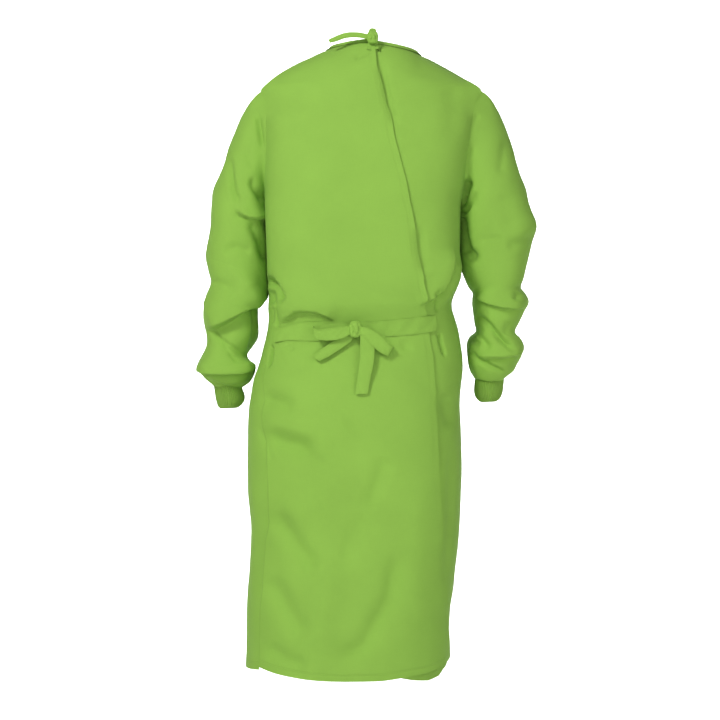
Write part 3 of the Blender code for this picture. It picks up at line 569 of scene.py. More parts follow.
def cloth_material(name, tone=1.0, stitches=(), thread=0.0005, ribs=0.0, rough=0.82):
    """Plain-weave cloth: crossing threads, slubs, a soft uneven dye, a little sheen, and rows of stitches with painted
    shade in the groove beside each row.
    """
    material = bpy.data.materials.new(name)
    material.use_nodes = True
    n = Nodes(material)
    s, t = n.uv("weave")
    where = n.add("ShaderNodeCombineXYZ", {0: s, 1: t, 2: 0.0}).outputs[0]
    warp = n.math("SINE", n.math("MULTIPLY", s, 2 * math.pi / thread))
    weft = n.math("SINE", n.math("MULTIPLY", t, 2 * math.pi / thread))
    weave = n.math("MULTIPLY", warp, weft)
    cloud = n.add("ShaderNodeTexNoise", {"Vector": where, "Scale": 9.0, "Detail": 3.0, "Roughness": 0.55}).outputs[0]
    stretch = n.add("ShaderNodeMapping", {"Vector": where, "Scale": (900.0, 60.0, 1.0)}).outputs[0]
    slub = n.add("ShaderNodeTexNoise", {"Vector": stretch, "Scale": 1.0, "Detail": 2.0}).outputs[0]
    stretch = n.add("ShaderNodeMapping", {"Vector": where, "Scale": (60.0, 900.0, 1.0)}).outputs[0]
    slub2 = n.add("ShaderNodeTexNoise", {"Vector": stretch, "Scale": 1.0, "Detail": 2.0}).outputs[0]
    tint = n.math("ADD", n.math("MULTIPLY", cloud, 0.55), n.math("MULTIPLY", n.math("ADD", slub, slub2), 0.225))
    ramp = n.add("ShaderNodeValToRGB", {0: tint})
    ramp.color_ramp.elements[0].position, ramp.color_ramp.elements[1].position = 0.32, 0.68
    ramp.color_ramp.elements[0].color = (*[c * tone * 0.93 for c in GREEN], 1.0)
    ramp.color_ramp.elements[1].color = (*[c * tone * 1.05 for c in GREEN], 1.0)
    colour = ramp.outputs[0]
    height = n.math("ADD", n.math("MULTIPLY", weave, 0.00003), n.math("MULTIPLY", n.math("ADD", slub, slub2), 0.00006))
    for layer, offset in stitches:
        mask = n.line(layer, offset)
        dip_and_painted_shade = n.groove(layer, offset, 0.0030)
        # painted shade: the colour is darkened towards a deep green in the groove beside each row of stitches, most
        # strongly at the hem
        colour = n.add(
            "ShaderNodeMix", {0: n.math("MULTIPLY", dip_and_painted_shade, 0.16 if layer == "hem" else 0.05), 6: colour, 7: (*[c * tone * 0.55 for c in GREEN], 1.0)}, data_type="RGBA"
        ).outputs[2]
        colour = n.add("ShaderNodeMix", {0: n.math("MULTIPLY", mask, 0.7 if layer == "hem" else 0.3), 6: colour, 7: (*[c * tone * 1.12 for c in GREEN], 1.0)}, data_type="RGBA").outputs[2]
        height = n.math("ADD", height, n.math("MULTIPLY", mask, 0.00025))
        height = n.math("SUBTRACT", height, n.math("MULTIPLY", dip_and_painted_shade, 0.00030 if layer == "hem" else 0.00012))
    if ribs:
        _, level = n.uv("hem")
        height = n.math("ADD", height, n.math("MULTIPLY", n.math("SINE", n.math("MULTIPLY", t, 2 * math.pi / 0.0014)), 0.00008))
    bump = n.add("ShaderNodeBump", {"Height": height, "Strength": 0.75, "Distance": 1.0})
    n.tree.links.new(colour, n.shader.inputs["Base Color"])
    n.tree.links.new(bump.outputs[0], n.shader.inputs["Normal"])
    n.tree.links.new(n.math("ADD", n.math("MULTIPLY", slub, 0.12), rough - 0.06), n.shader.inputs["Roughness"])
    n.shader.inputs["Sheen Weight"].default_value = 0.05
    n.shader.inputs["Sheen Roughness"].default_value = 0.45
    n.shader.inputs["Sheen Tint"].default_value = (0.75, 1.0, 0.55, 1.0)
    n.shader.inputs["Specular IOR Level"].default_value = 0.12
    return material


PANEL = cloth_material("gown_cloth_panel", stitches=(("hem", 0.0130),))
FLAP = cloth_material("gown_cloth_flap", stitches=(("hem", 0.0130), ("edge", 0.0115)))
SLEEVE = cloth_material("gown_cloth_sleeve", tone=0.985)
TURNED = cloth_material("gown_cloth_turned", tone=0.95)
SEAM = cloth_material("gown_cloth_seam", tone=0.93, stitches=(("edge", 0.0012),))
BINDING = cloth_material("gown_binding", tone=0.98, stitches=(("edge", 0.0012),))
TIE = cloth_material("gown_tie", tone=1.0, stitches=(("edge", 0.0016),))
KNIT = cloth_material("gown_knit", tone=0.76, thread=0.0010, ribs=1.0, rough=0.88)

CLOTH = 0.0007
DEBUG = False
pieces = {}


def torso_centre(P):
    c = P.copy()
    c[..., 0], c[..., 1] = -0.02, 0.0
    return c


def body_normal(a, z, out):
    across = body(a + 0.4, z, out) - body(a - 0.4, z, out)
    down = body(a, z - 0.002, out) - body(a, z + 0.002, out)
    N = np.cross(across, down)
    N /= np.maximum(np.linalg.norm(N, axis=-1, keepdims=True), 1e-12)
    P = body(a, z, out)
    return np.where(((N * (P - torso_centre(P))).sum(-1) < 0)[..., None], -N, N)


def panel(name, start, end, count, out, level, material, slot, table=BODY_FOLDS, hem_level=None):
    """A strip of the body surface between two edges, with its folds."""
    u = np.linspace(0, 1, count)[None, :]
    z = level(u, LEVELS[:, None])
    a = start(z[:, :1]) * (1 - u) + end(z[:, -1:]) * u
    P = body(a, z, out(u, z))
    N = body_normal(a, z, 0.0)
    pu, pv = plate(P)
    seen = step(-N[..., 1], -0.05, 0.35)
    P = P + N * (folds(pu, pv, table) * seen * step(-z, 0.001, 0.013))[..., None]
    return P, u, z


def finish_panel(name, P, material, slot, hem_z, thickness=CLOTH, edge_at_end=False):
    N = normals_of(P, centre=torso_centre)
    down = arc(P, 0)
    hem = (arc(P, 1), down[-1:] - down)
    across = arc(P, 1)
    edge = (down, (across[:, -1:] - across) if edge_at_end else across + 0.5)
    return shell(name, P, N, thickness, material, slot, hem=hem, edge=edge)


def flap_level(u, z):
    low = flap_hem(u)[..., 0] + z * 0
    return np.where(z > -0.92, z, -0.92 + (z + 0.92) * (low + 0.92) / (HEM_Z + 0.92))


def round_level(u, z):
    """The front's hem rises a little towards the sides."""
    low = -1.1630 + 0.0120 * (np.abs(2 * u - 1) ** 2.5)
    return np.where(z > -0.92, z, -0.92 + (z + 0.92) * (low + 0.92) / (HEM_Z + 0.92))


def under_level(u, z):
    x = body(UNDER_EDGE(-1.15)[0] * (1 - u), np.full_like(u, -1.15))[..., 0]
    low = np.interp(x, [-0.1, 0.0293, 0.0706, 0.0984, 0.119, 0.1277, 0.15], [-1.148, -1.1545, -1.1650, -1.1690, -1.1650, -1.1560, -1.1480]) + 0 * z
    return np.where(z > -0.92, z, -0.92 + (z + 0.92) * (low + 0.92) / (HEM_Z + 0.92))


stand_off = curve(((0.02, 0.0036), (-0.02, 0.0046), (-0.08, 0.0062), (-0.14, 0.0044), (-0.24, 0.0042), (-0.36, 0.0058), (-0.45, 0.0056), (-0.53, 0.0030), (-0.60, 0.0036), (-0.8, 0.0048), (-1.2, 0.0062)))


def flap_out(u, z):
    return 0.0012 + (stand_off(z)[..., 0] - 0.0012) * step(u, 0.0, 0.30)


front, _, _ = panel("front", lambda z: side_angle(z, False, False), lambda z: side_angle(z, False, True), 104, lambda u, z: 0 * z, round_level, PANEL, "body_cloth")
FRONT = finish_panel("front_cloth", front, PANEL, "body_cloth", HEM_Z)
flap, _, _ = panel("flap", lambda z: side_angle(z, True, True), lambda z: FLAP_EDGE(z)[..., 0], 150, flap_out, flap_level, FLAP, "body_cloth")
FLAPPED = finish_panel("back_left_cloth", flap, FLAP, "body_cloth", HEM_Z, edge_at_end=True)
under, _, _ = panel("under", lambda z: UNDER_EDGE(z)[..., 0], lambda z: side_angle(z, True, False), 140, lambda u, z: 0 * z, under_level, PANEL, "body_cloth")
UNDER = finish_panel("back_right_cloth", under, PANEL, "body_cloth", HEM_Z)


def turned(name, P, rows, cols, gap, material=TURNED):
    """The turned-up or turned-in strip on the inside of a panel."""
    N = normals_of(P, centre=torso_centre)
    Q, M = (P - N * (CLOTH + gap))[rows, cols], N[rows, cols]
    return shell(name, Q, M, CLOTH * 0.8, material, "hem_cloth", edge=(arc(Q, 0), arc(Q, 1)))


HEM_ROWS = slice(-max(3, int(round(0.0170 / FINE))), -1)
front_hem = turned("front_hem_turning", front, HEM_ROWS, slice(1, -1), 0.0003)
flap_hem_strip = turned("back_left_hem_turning", flap, HEM_ROWS, slice(1, -6), 0.0003)
under_hem = turned("back_right_hem_turning", under, HEM_ROWS, slice(6, -1), 0.0003)
flap_facing = turned("back_left_edge_facing", flap, slice(0, -2), slice(-9, -1), 0.0003)
under_facing = turned("back_right_edge_facing", under, slice(0, -2), slice(1, 9), 0.0003)

for obj, nodes in (
    (FRONT, ["front_panel"]),
    (UNDER, ["back_panel_right"]),
    (front_hem, ["hem_front"]),
    (under_hem, ["hem_back_right"]),
    (under_facing, ["edge_facing_right"]),
):
    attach(obj, "root")
    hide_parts(*nodes)
for obj, nodes in ((FLAPPED, ["back_panel_left", "back_panel_left_skirt"]), (flap_facing, ["edge_facing_left", "edge_facing_left_skirt"])):
    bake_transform(obj)
    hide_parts(*nodes)
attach(flap_hem_strip, "skirt_flap")
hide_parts("hem_back_left")


# ---------------------------------------------------------------- seams
def seam(name, left_side, first, last, slot, nodes, width=0.0046, behind=True, out=0.0):
    """A felled seam: a narrow raised strip with a row of stitches."""
    rows = LEVELS[(LEVELS <= first) & (LEVELS >= last)]
    z = rows[:, None]
    base = np.where(z < ARM_Z - ARM_H, SEAM_LEFT(z)[..., 0], -180.0) if left_side else 0 * z
    middle, N = body(base, z), body_normal(base, z, 0.0)
    tangent = np.cross(N, np.gradient(middle, axis=0))
    tangent /= np.linalg.norm(tangent, axis=-1, keepdims=True)
    u = np.linspace(-1, 1, 7)[None, :, None]
    P = middle + tangent * u * width / 2 + N * (0.0016 - 0.0012 * np.abs(u) ** 3 + out)
    pu, pv = plate(middle)
    P = P + N * (folds(pu, pv, BODY_FOLDS) * step(-N[..., 1], -0.05, 0.35))[..., None]
    N = normals_of(P, centre=torso_centre)
    obj = shell(name, P, N, 0.0012, SEAM, slot, edge=(arc(P, 0), arc(P, 1)))
    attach(obj, "root")
    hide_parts(*nodes)
    return obj


seam("side_seam_left_cloth", True, ARM_Z - ARM_H - 0.001, -1.140, "seam_cloth", ["side_seam_left"])
seam("side_seam_right_cloth", False, ARM_Z - ARM_H - 0.001, -1.142, "seam_cloth", ["side_seam_right"])
seam("shoulder_seam_left_cloth", True, -0.004, ARM_Z + ARM_H + 0.002, "seam_cloth", ["shoulder_seam_left"], out=0.0006)
seam("shoulder_seam_right_cloth", False, -0.004, ARM_Z + ARM_H + 0.002, "seam_cloth", ["shoulder_seam_right"], out=0.0006)


# ---------------------------------------------------------------- sleeves
def wall(phi, grow, left_side, away=0.0):
    """Points of the armhole's rim: phi 90 is the top, 0 the front, 180 the back."""
    z = ARM_Z + (ARM_H + grow) * np.sin(np.radians(phi))
    y = (hole_y(z) + grow) * np.sign(np.where(np.abs(np.cos(np.radians(phi))) < 1e-9, 0, np.cos(np.radians(phi))))
    lean = np.where(y < 0, lean_at_y(y, z, True), lean_at_y(y, z, False)) * np.sign(y)
    return body(180 - lean if left_side else lean, z, away)


# sleeve control rings: place of the outer point and of the inner point on the view plate, centre depth, half depth, roundness
LEFT_RINGS = (
    ((258.5, 94.0), (266.2, 213.0), 0.000, 0.0640, 1.85),
    ((250.0, 103.5), (266.6, 219.0), 0.001, 0.0670, 1.9),
    ((241.2, 118.0), (267.0, 225.0), 0.002, 0.0700, 2.0),
    ((234.8, 133.0), (267.4, 231.0), 0.003, 0.0720, 2.1),
    ((228.8, 149.0), (267.7, 237.0), 0.004, 0.0735, 2.2),
    ((222.8, 166.0), (268.0, 242.0), 0.005, 0.0735, 2.25),
    ((217.6, 180.0), (268.2, 247.0), 0.006, 0.0730, 2.3),
    ((212.6, 196.0), (268.4, 253.0), 0.007, 0.0725, 2.3),
    ((210.8, 210.0), (268.6, 258.0), 0.008, 0.0720, 2.3),
    ((210.2, 226.0), (268.8, 264.0), 0.009, 0.0710, 2.3),
    ((207.6, 242.0), (269.0, 271.0), 0.010, 0.0700, 2.3),
    ((206.2, 258.0), (269.0, 279.0), 0.011, 0.0690, 2.3),
    ((207.4, 271.0), (268.8, 287.0), 0.012, 0.0680, 2.3),
    ((210.4, 283.0), (268.2, 294.0), 0.012, 0.0670, 2.3),
    ((206.4, 297.0), (266.2, 299.5), 0.013, 0.0665, 2.3),
    ((204.2, 306.0), (258.6, 306.0), 0.013, 0.0655, 2.3),
    ((203.2, 317.0), (257.4, 317.0), 0.014, 0.0640, 2.3),
    ((204.4, 328.0), (258.0, 328.0), 0.015, 0.0620, 2.3),
    ((205.8, 338.0), (256.6, 337.0), 0.016, 0.0600, 2.3),
    ((205.0, 347.0), (251.4, 346.5), 0.017, 0.0580, 2.3),
    ((202.0, 356.0), (247.4, 355.0), 0.018, 0.0560, 2.3),
    ((198.6, 363.0), (250.4, 361.0), 0.019, 0.0560, 2.3),
    ((196.8, 368.4), (255.6, 365.5), 0.020, 0.0565, 2.3),
    ((198.4, 373.0), (255.0, 370.5), 0.021, 0.0550, 2.3),
    ((203.0, 378.6), (251.6, 376.5), 0.022, 0.0510, 2.3),
    ((208.4, 383.4), (247.6, 382.0), 0.022, 0.0450, 2.3),
    ((212.6, 386.6), (242.4, 386.6), 0.022, 0.0385, 2.3),
    ((214.6, 389.0), (239.4, 389.4), 0.022, 0.0330, 2.3),
)
RIGHT_RINGS = (
    ((486.0, 94.5), (459.0, 213.0), 0.000, 0.0640, 1.85),
    ((492.6, 102.5), (459.3, 219.0), 0.001, 0.0670, 1.9),
    ((500.6, 117.0), (459.6, 225.0), 0.002, 0.0700, 2.0),
    ((507.4, 133.0), (459.8, 231.0), 0.003, 0.0720, 2.1),
    ((512.6, 149.0), (460.0, 237.0), 0.004, 0.0735, 2.2),
    ((518.0, 166.0), (460.2, 242.0), 0.005, 0.0735, 2.25),
    ((522.0, 180.0), (460.3, 247.0), 0.006, 0.0730, 2.3),
    ((527.0, 196.0), (460.4, 252.0), 0.007, 0.0725, 2.3),
    ((531.6, 210.0), (460.5, 257.0), 0.008, 0.0720, 2.3),
    ((537.0, 224.6), (460.8, 263.0), 0.009, 0.0710, 2.3),
    ((533.6, 239.0), (461.6, 269.0), 0.010, 0.0700, 2.3),
    ((528.8, 254.0), (464.6, 277.5), 0.011, 0.0690, 2.3),
    ((527.0, 268.0), (469.0, 287.0), 0.012, 0.0680, 2.3),
    ((524.4, 279.0), (473.0, 292.6), 0.013, 0.0670, 2.3),
    ((521.2, 287.6), (472.8, 299.0), 0.014, 0.0665, 2.3),
    ((525.8, 295.0), (472.6, 304.5), 0.014, 0.0660, 2.3),
    ((528.6, 302.5), (473.4, 310.0), 0.014, 0.0650, 2.3),
    ((524.6, 312.0), (474.4, 316.0), 0.015, 0.0635, 2.3),
    ((519.6, 322.0), (475.6, 324.0), 0.015, 0.0620, 2.3),
    ((516.0, 331.6), (476.7, 331.8), 0.016, 0.0605, 2.3),
    ((521.4, 338.0), (471.0, 337.5), 0.017, 0.0600, 2.3),
    ((525.0, 345.5), (468.0, 344.5), 0.018, 0.0600, 2.3),
    ((522.6, 354.0), (467.2, 353.5), 0.019, 0.0590, 2.3),
    ((517.0, 363.5), (467.8, 363.5), 0.020, 0.0570, 2.3),
    ((514.0, 371.5), (470.4, 370.5), 0.021, 0.0520, 2.3),
    ((508.0, 376.6), (474.6, 376.0), 0.022, 0.0440, 2.3),
    ((504.6, 379.4), (476.6, 379.6), 0.022, 0.0370, 2.3),
    ((503.2, 381.6), (477.6, 381.8), 0.022, 0.0330, 2.3),
)


def through(values, count_each):
    """Catmull-Rom through a list of arrays."""
    values = np.array(values, float)
    ext = np.concatenate([2 * values[:1] - values[1:2], values, 2 * values[-1:] - values[-2:-1]])
    out = []
    for i in range(len(values) - 1):
        p0, p1, p2, p3 = ext[i : i + 4]
        for t in np.linspace(0, 1, count_each, endpoint=False):
            out.append(0.5 * (2 * p1 + (p2 - p0) * t + (2 * p0 - 5 * p1 + 4 * p2 - p3) * t**2 + (3 * p1 - p0 - 3 * p2 + p3) * t**3))
    out.append(values[-1])
    return np.array(out)


SPLIT_ROW = 12  # control ring where the upper and lower sleeve meet
AROUND = 168


def sleeve_grid(rings, left_side, table):
    phi = np.linspace(0, 360, AROUND, endpoint=False)
    sign = -1.0 if left_side else 1.0
    head = wall(phi, 0.0, left_side, 0.0)
    control = [head]
    for (ou, ov), (iu, iv), cy, depth, n in rings:
        o, i = at(ou, ov), at(iu, iv)
        s, c = power(np.sin(np.radians(phi)), 2 / n), power(np.cos(np.radians(phi)), 2 / n)
        control.append(np.stack([(o[0] + i[0]) / 2 + (o[0] - i[0]) / 2 * s, cy + depth * c, (o[2] + i[2]) / 2 + (o[2] - i[2]) / 2 * s], -1))
    # the first rings leave the armhole softly
    for k, share in ((1, 0.42), (2, 0.18), (3, 0.06)):
        moved = head + np.array([sign * 0.010 * k, 0.0, -0.006 * k]) * step(np.sin(np.radians(phi)), -0.9, 0.1)[:, None]
        control[k] = control[k] * (1 - share) + moved * share
        top = step(np.sin(np.radians(phi)), 0.55, 1.0)[:, None]
        (ou, ov), (iu, iv), cy, depth, n = rings[k - 1]
    each = 6
    P = through(control, each)
    centres = P.mean(1, keepdims=True)
    N = normals_of(P, closed=True, centre=lambda Q: centres + 0 * Q)
    pu, pv = plate(P)
    seen = step(-N[..., 1], -0.05, 0.35)
    tail = step(np.arange(len(P)), 0, each)[:, None]  # the head stays on the armhole
    P = P + N * (folds(pu, pv, table) * seen * tail)[..., None]
    # soft slack on the sides that the folds above don't reach
    wave = 0.0016 * np.sin(np.radians(phi) * 3 + P[..., 2] * 60) + 0.0012 * np.sin(np.radians(phi) * 5 - P[..., 2] * 95)
    inner = 1 - step(-np.sin(np.radians(phi)), 0.1, 0.6) * (1 - step(np.arange(len(P)), 15 * each, 20 * each)[:, None])
    P = P + N * (wave * inner * (1 - seen) * step(np.arange(len(P)), 2 * each, 6 * each)[:, None] * step(len(P) - np.arange(len(P)), 1, 3 * each)[:, None])[..., None]
    N = normals_of(P, closed=True, centre=lambda Q: centres + 0 * Q)
    return P, N, SPLIT_ROW * each


grids = {}
for side, rings, table in (("left", LEFT_RINGS, LEFT_FOLDS), ("right", RIGHT_RINGS, RIGHT_FOLDS)):
    P, N, cut = sleeve_grid(rings, side == "left", table)
    grids[side] = P
    upper = shell(f"sleeve_{side}_cloth_upper", P[: cut + 1], N[: cut + 1], CLOTH, SLEEVE, "sleeve_cloth", closed=True)
    lower = shell(f"sleeve_{side}_cloth_lower", P[cut:], N[cut:], CLOTH, SLEEVE, "sleeve_cloth", closed=True)
    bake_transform(upper)
    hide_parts(f"sleeve_{side}_upper", f"armhole_seam_{side}")
    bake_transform(lower)
    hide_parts(f"sleeve_{side}_lower")
    pieces[f"sleeve_{side}_cloth_upper"], pieces[f"sleeve_{side}_cloth_lower"] = upper, lower

# ---------------------------------------------------------------- cuffs
CUFFS = {
    "left": (((212.8, 385.0), (241.0, 385.6), 0.0335), ((213.6, 389.0), (241.6, 389.4), 0.0345), ((214.4, 395.0), (243.6, 395.6), 0.0350), ((215.6, 401.0), (243.2, 401.0), 0.0345), ((217.2, 406.0), (240.0, 405.4), 0.0330), ((219.6, 408.6), (236.4, 408.0), 0.0310)),
    "right": (((476.0, 378.4), (505.0, 378.6), 0.0335), ((475.6, 383.0), (504.4, 383.4), 0.0345), ((475.0, 389.6), (503.8, 389.0), 0.0350), ((475.8, 395.0), (502.6, 394.4), 0.0345), ((478.2, 399.6), (500.4, 398.8), 0.0325), ((482.0, 402.4), (496.6, 401.6), 0.0300)),
}
RIBS = 54
for side, rings in CUFFS.items():
    cols = RIBS * 6
    phi = np.linspace(0, 360, cols, endpoint=False)
    control = []
    for (lu, lv), (ru, rv), depth in rings:
        o, i = at(lu, lv), at(ru, rv)
        s, c = power(np.sin(np.radians(phi)), 2 / 2.3), power(np.cos(np.radians(phi)), 2 / 2.3)
        control.append(np.stack([(o[0] + i[0]) / 2 + (o[0] - i[0]) / 2 * s, 0.022 + depth * c, (o[2] + i[2]) / 2 + (o[2] - i[2]) / 2 * s], -1))
    P = through(control, 5)
    centres = P.mean(1, keepdims=True)
    N = normals_of(P, closed=True, centre=lambda Q: centres + 0 * Q)
    ends = step(np.arange(len(P)), 0, 3)[:, None] * step(len(P) - 1 - np.arange(len(P)), 0, 2)[:, None]
    P = P + N * (0.00055 * np.sin(np.radians(phi) * RIBS) * (0.35 + 0.65 * ends))[..., None]
    N = normals_of(P, closed=True, centre=lambda Q: centres + 0 * Q)
    cuff = shell(f"cuff_{side}_knit", P, N, 0.0018, KNIT, "cuff_knit", closed=True)
    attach(cuff, f"forearm_{side}")
    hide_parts(f"cuff_{side}")
    pieces[f"cuff_{side}_knit"] = cuff

# ---------------------------------------------------------------- neck binding
def binding():
    """A folded band over the neckline's raw edge, from the outer flap's corner round to the under flap's."""
    start = float(FLAP_EDGE(0.0)[0])
    end = float(UNDER_EDGE(0.0)[0])
    a = np.linspace(start, end - 360.0 if end > start else end - 360.0, 220)[None, :]
    u = np.linspace(0, 1, 220)[None, :]
    lift = np.where(a > -180.0, flap_out(np.clip((a + 180.0) / (start + 180.0), 0, 1), 0.0), 0.0012 * np.clip(1 + (a + 180.0) / 20.0, 0, 1))
    profile = [(0.0013, -0.0072), (0.0016, -0.0040), (0.0015, -0.0005), (0.0010, 0.0010), (0.0, 0.0016), (-0.0010, 0.0010), (-0.0015, -0.0005), (-0.0014, -0.0040), (-0.0010, -0.0070)]
    rows = []
    for o, h in profile:
        z = np.full_like(a, min(h, 0.0) * 0.80)
        rows.append((body(a, z, lift) + body_normal(a, z, lift) * (o + 0.0006) + np.array([0, 0, max(h, 0.0)]))[0])
    P = np.array(rows)
    mid = P.mean(0, keepdims=True)
    N = normals_of(P, centre=lambda Q: mid + 0 * Q)
    obj = shell("neck_binding_band", P, N, 0.0004, BINDING, "binding_tape", edge=(arc(P, 1), arc(P, 0)))
    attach(obj, "root")
    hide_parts("neck_binding_front", "neck_binding_back_left", "neck_binding_back_right")
    return obj


BAND = binding()


# ---------------------------------------------------------------- ties
def ribbon(name, rows, body_name, nodes, slot="tie_tape", thickness=0.0012, cup=0.0, each=6, across=9, material=None, wrinkle=0.0, flip=False):
    """A tie through rows of (one edge, other edge), with a slightly rounded section."""
    first = through([r[0] for r in rows], each)
    second = through([r[1] for r in rows], each)
    t = np.linspace(0, 1, across)[None, :, None]
    P = first[:, None] * (1 - t) + second[:, None] * t
    N = normals_of(P)
    if (N[..., 1].sum() > 0) != flip:
        N = -N
    bow = (1 - (2 * t[..., 0] - 1) ** 2)
    P = P + N * (cup * bow)[..., None]
    if wrinkle:
        run = arc(P, 0)
        P = P + N * (wrinkle * np.sin(run * 420 + 3 * t[..., 0]) * np.sin(t[..., 0] * 9 + 1))[..., None]
    N = normals_of(P)
    if (N[..., 1].sum() > 0) != flip:
        N = -N
    width = arc(P, 1)
    obj = shell(name, P, N, thickness, material or TIE, slot, edge=(arc(P, 0), np.minimum(width, width[:, -1:] - width)))
    if isinstance(body_name, str):
        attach(obj, body_name)
    if nodes:
        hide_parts(*nodes)
    return obj


def belt(name, upper, lower, nodes, count=60):
    """The waist tie lying round the back, over the outer flap."""
    lo = max(min(p[0] for p in upper), min(p[0] for p in lower))
    hi = min(max(p[0] for p in upper), max(p[0] for p in lower))
    top, low = curve(upper), curve(lower)
    us = np.linspace(lo, hi, count)
    rows = []
    for s in np.linspace(0, 1, 9):
        row = []
        for u in us:
            v = float(top(u)[0] * (1 - s) + low(u)[0] * s)
            v += 0.35 * math.sin(u * 0.21 + s * 2.0) * (1 - abs(2 * s - 1))
            bulge = 0.0007 * (1 - (2 * s - 1) ** 2)
            rest = 0.0046 - 0.0022 * float(step(u, 424, 436))
            row.append(back_point(u, v, rest + bulge + 0.0005 * math.sin(u * 0.33 + 4 * s)))
        rows.append(row)
    P = np.array(rows)
    N = normals_of(P, centre=torso_centre)
    height = arc(P, 0)
    obj = shell(name, P, N, 0.0012, TIE, "tie_tape", edge=(arc(P, 1), np.minimum(height, height[-1:] - height)))
    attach(obj, "root")
    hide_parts(*nodes)
    return obj


belt_left = belt("waist_tie_left_cloth", [(276.5, 329.0), (290, 325.5), (304, 322.5), (330, 321.5), (358, 321.5)], [(276.5, 342.4), (290, 340.4), (317, 341), (328, 340), (358, 338.2)], ["waist_tie_left"])
belt_right = belt("waist_tie_right_cloth", [(352, 321.7), (374.6, 321.4), (400, 319.2), (423.4, 316.6), (435.0, 315.4)], [(352, 338.6), (374, 337.2), (399.5, 335.6), (420, 333.4), (435.0, 331.2)], ["waist_tie_right"])

FACE = float(back_point(356, 330, 0.0086)[1]) - 0.0022


def spot(u, v, off=0.0):
    return at(u, v, FACE - off)


def knot(name, places, depth, body_name, nodes, creases):
    """A pulled-tight knot: a soft lump with the wraps of the tie pressed into it."""
    cu, cv, ru, rv, off = places
    count = 34
    theta = np.linspace(0, math.pi, 25)[:, None]
    phi = np.linspace(0, 2 * math.pi, count, endpoint=False)[None, :]
    x = power(np.sin(theta), 0.85) * power(np.cos(phi), 0.75)
    z = power(np.sin(theta), 0.85) * power(np.sin(phi), 0.75)
    y = -np.cos(theta) + 0 * phi
    c = spot(cu, cv, off)
    P = np.stack([c[0] + x * ru * SCALE, c[1] + y * depth, c[2] + z * rv * SCALE], -1)
    centre = c
    N = P - centre
    N /= np.linalg.norm(N, axis=-1, keepdims=True)
    pu, pv = plate(P)
    P = P + N * folds(pu, pv, creases)[..., None]
    N2 = normals_of(P, closed=True, centre=lambda Q: centre + 0 * Q)
    N2[0], N2[-1] = N[0], N[-1]
    V = P[1:-1].reshape(-1, 3)
    V = np.concatenate([V, [P[0].mean(0)], [P[-1].mean(0)]])
    rows = len(theta) - 2
    idx = np.arange(rows * count).reshape(rows, count)
    nxt = np.roll(idx, -1, 1)
    faces = [tuple(q) for q in np.stack([idx[:-1], idx[1:], nxt[1:], nxt[:-1]], -1).reshape(-1, 4).tolist()]
    a, b = rows * count, rows * count + 1
    faces += [(a, int(idx[0, i]), int(nxt[0, i])) for i in range(count)]
    faces += [(b, int(nxt[-1, i]), int(idx[-1, i])) for i in range(count)]
    mesh = bpy.data.meshes.new(name)
    mesh.from_pydata(V.tolist(), [], faces)
    bm = bmesh.new()
    bm.from_mesh(mesh)
    bmesh.ops.recalc_face_normals(bm, faces=bm.faces[:])
    bm.to_mesh(mesh)
    bm.free()
    for layer in ("weave", "hem", "edge"):
        uv = mesh.uv_layers.new(name=layer)
        for loop in mesh.loops:
            p = mesh.vertices[loop.vertex_index].co
            uv.data[loop.index].uv = (p.x, p.z + (1.0 if layer != "weave" else 0.0))
    mesh.shade_smooth()
    mesh.materials.append(TIE)
    obj = bpy.data.objects.new(name, mesh)
    bpy.context.scene.collection.objects.link(obj)
    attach(obj, body_name)
    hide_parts(*nodes)
    return obj


knot(
    "waist_knot_cloth",
    (355.2, 329.2, 6.2, 8.2, 0.0090),
    0.0085,
    "root",
    ["waist_knot"],
    (("g", [(350, 323), (354, 330), (353, 337)], -0.0016, 1.0), ("g", [(358, 321), (360, 329), (358, 337)], -0.0014, 1.0), ("g", [(351, 333), (360, 335)], -0.0010, 0.9)),
)
loop_left = ribbon(
    "bow_loop_left_cloth",
    [
        (spot(352, 325.5, 0.0040), spot(352, 334.0, 0.0040)),
        (spot(343, 323.6, 0.0030), spot(343, 337.0, 0.0024)),
        (spot(331, 323.8, 0.0028), spot(331, 339.0, 0.0020)),
        (spot(319, 325.0, 0.0030), spot(319.5, 338.8, 0.0022)),
        (spot(313.6, 326.6, 0.0064), spot(314.6, 336.4, 0.0054)),
        (spot(318, 329.4, 0.0108), spot(319.0, 339.6, 0.0084)),
        (spot(331, 327.8, 0.0122), spot(331.5, 340.4, 0.0102)),
        (spot(343, 326.6, 0.0118), spot(343, 338.0, 0.0110)),
        (spot(351, 326.0, 0.0104), spot(351, 333.6, 0.0104)),
    ],
    "bow_loop_l",
    ["bow_loop_left"],
    thickness=0.0009,
    each=8,
    wrinkle=0.0003,
)
loop_right = ribbon(
    "bow_loop_right_cloth",
    [
        (spot(361, 325.5, 0.0060), spot(357, 333.5, 0.0060)),
        (spot(370, 327.0, 0.0050), spot(363.5, 338.0, 0.0044)),
        (spot(380, 333.0, 0.0050), spot(372, 344.5, 0.0040)),
        (spot(388.6, 340.5, 0.0056), spot(382, 352.0, 0.0044)),
        (spot(393.0, 347.0, 0.0096), spot(388.0, 355.6, 0.0076)),
        (spot(388.0, 343.5, 0.0142), spot(379.5, 352.0, 0.0122)),
        (spot(379.5, 335.0, 0.0158), spot(371.0, 344.2, 0.0140)),
        (spot(369.0, 328.6, 0.0152), spot(363.5, 336.6, 0.0140)),
        (spot(361.0, 326.4, 0.0120), spot(358.0, 333.0, 0.0120)),
    ],
    "bow_loop_r",
    ["bow_loop_right"],
    thickness=0.0009,
    each=8,
    wrinkle=0.0003,
)


def lie(u, v, off):
    """A point that lies on the waist tie or on the skirt below it."""
    y = min(FACE, float(back_point(u, v, 0.0060)[1])) - off
    return at(u, v, y)


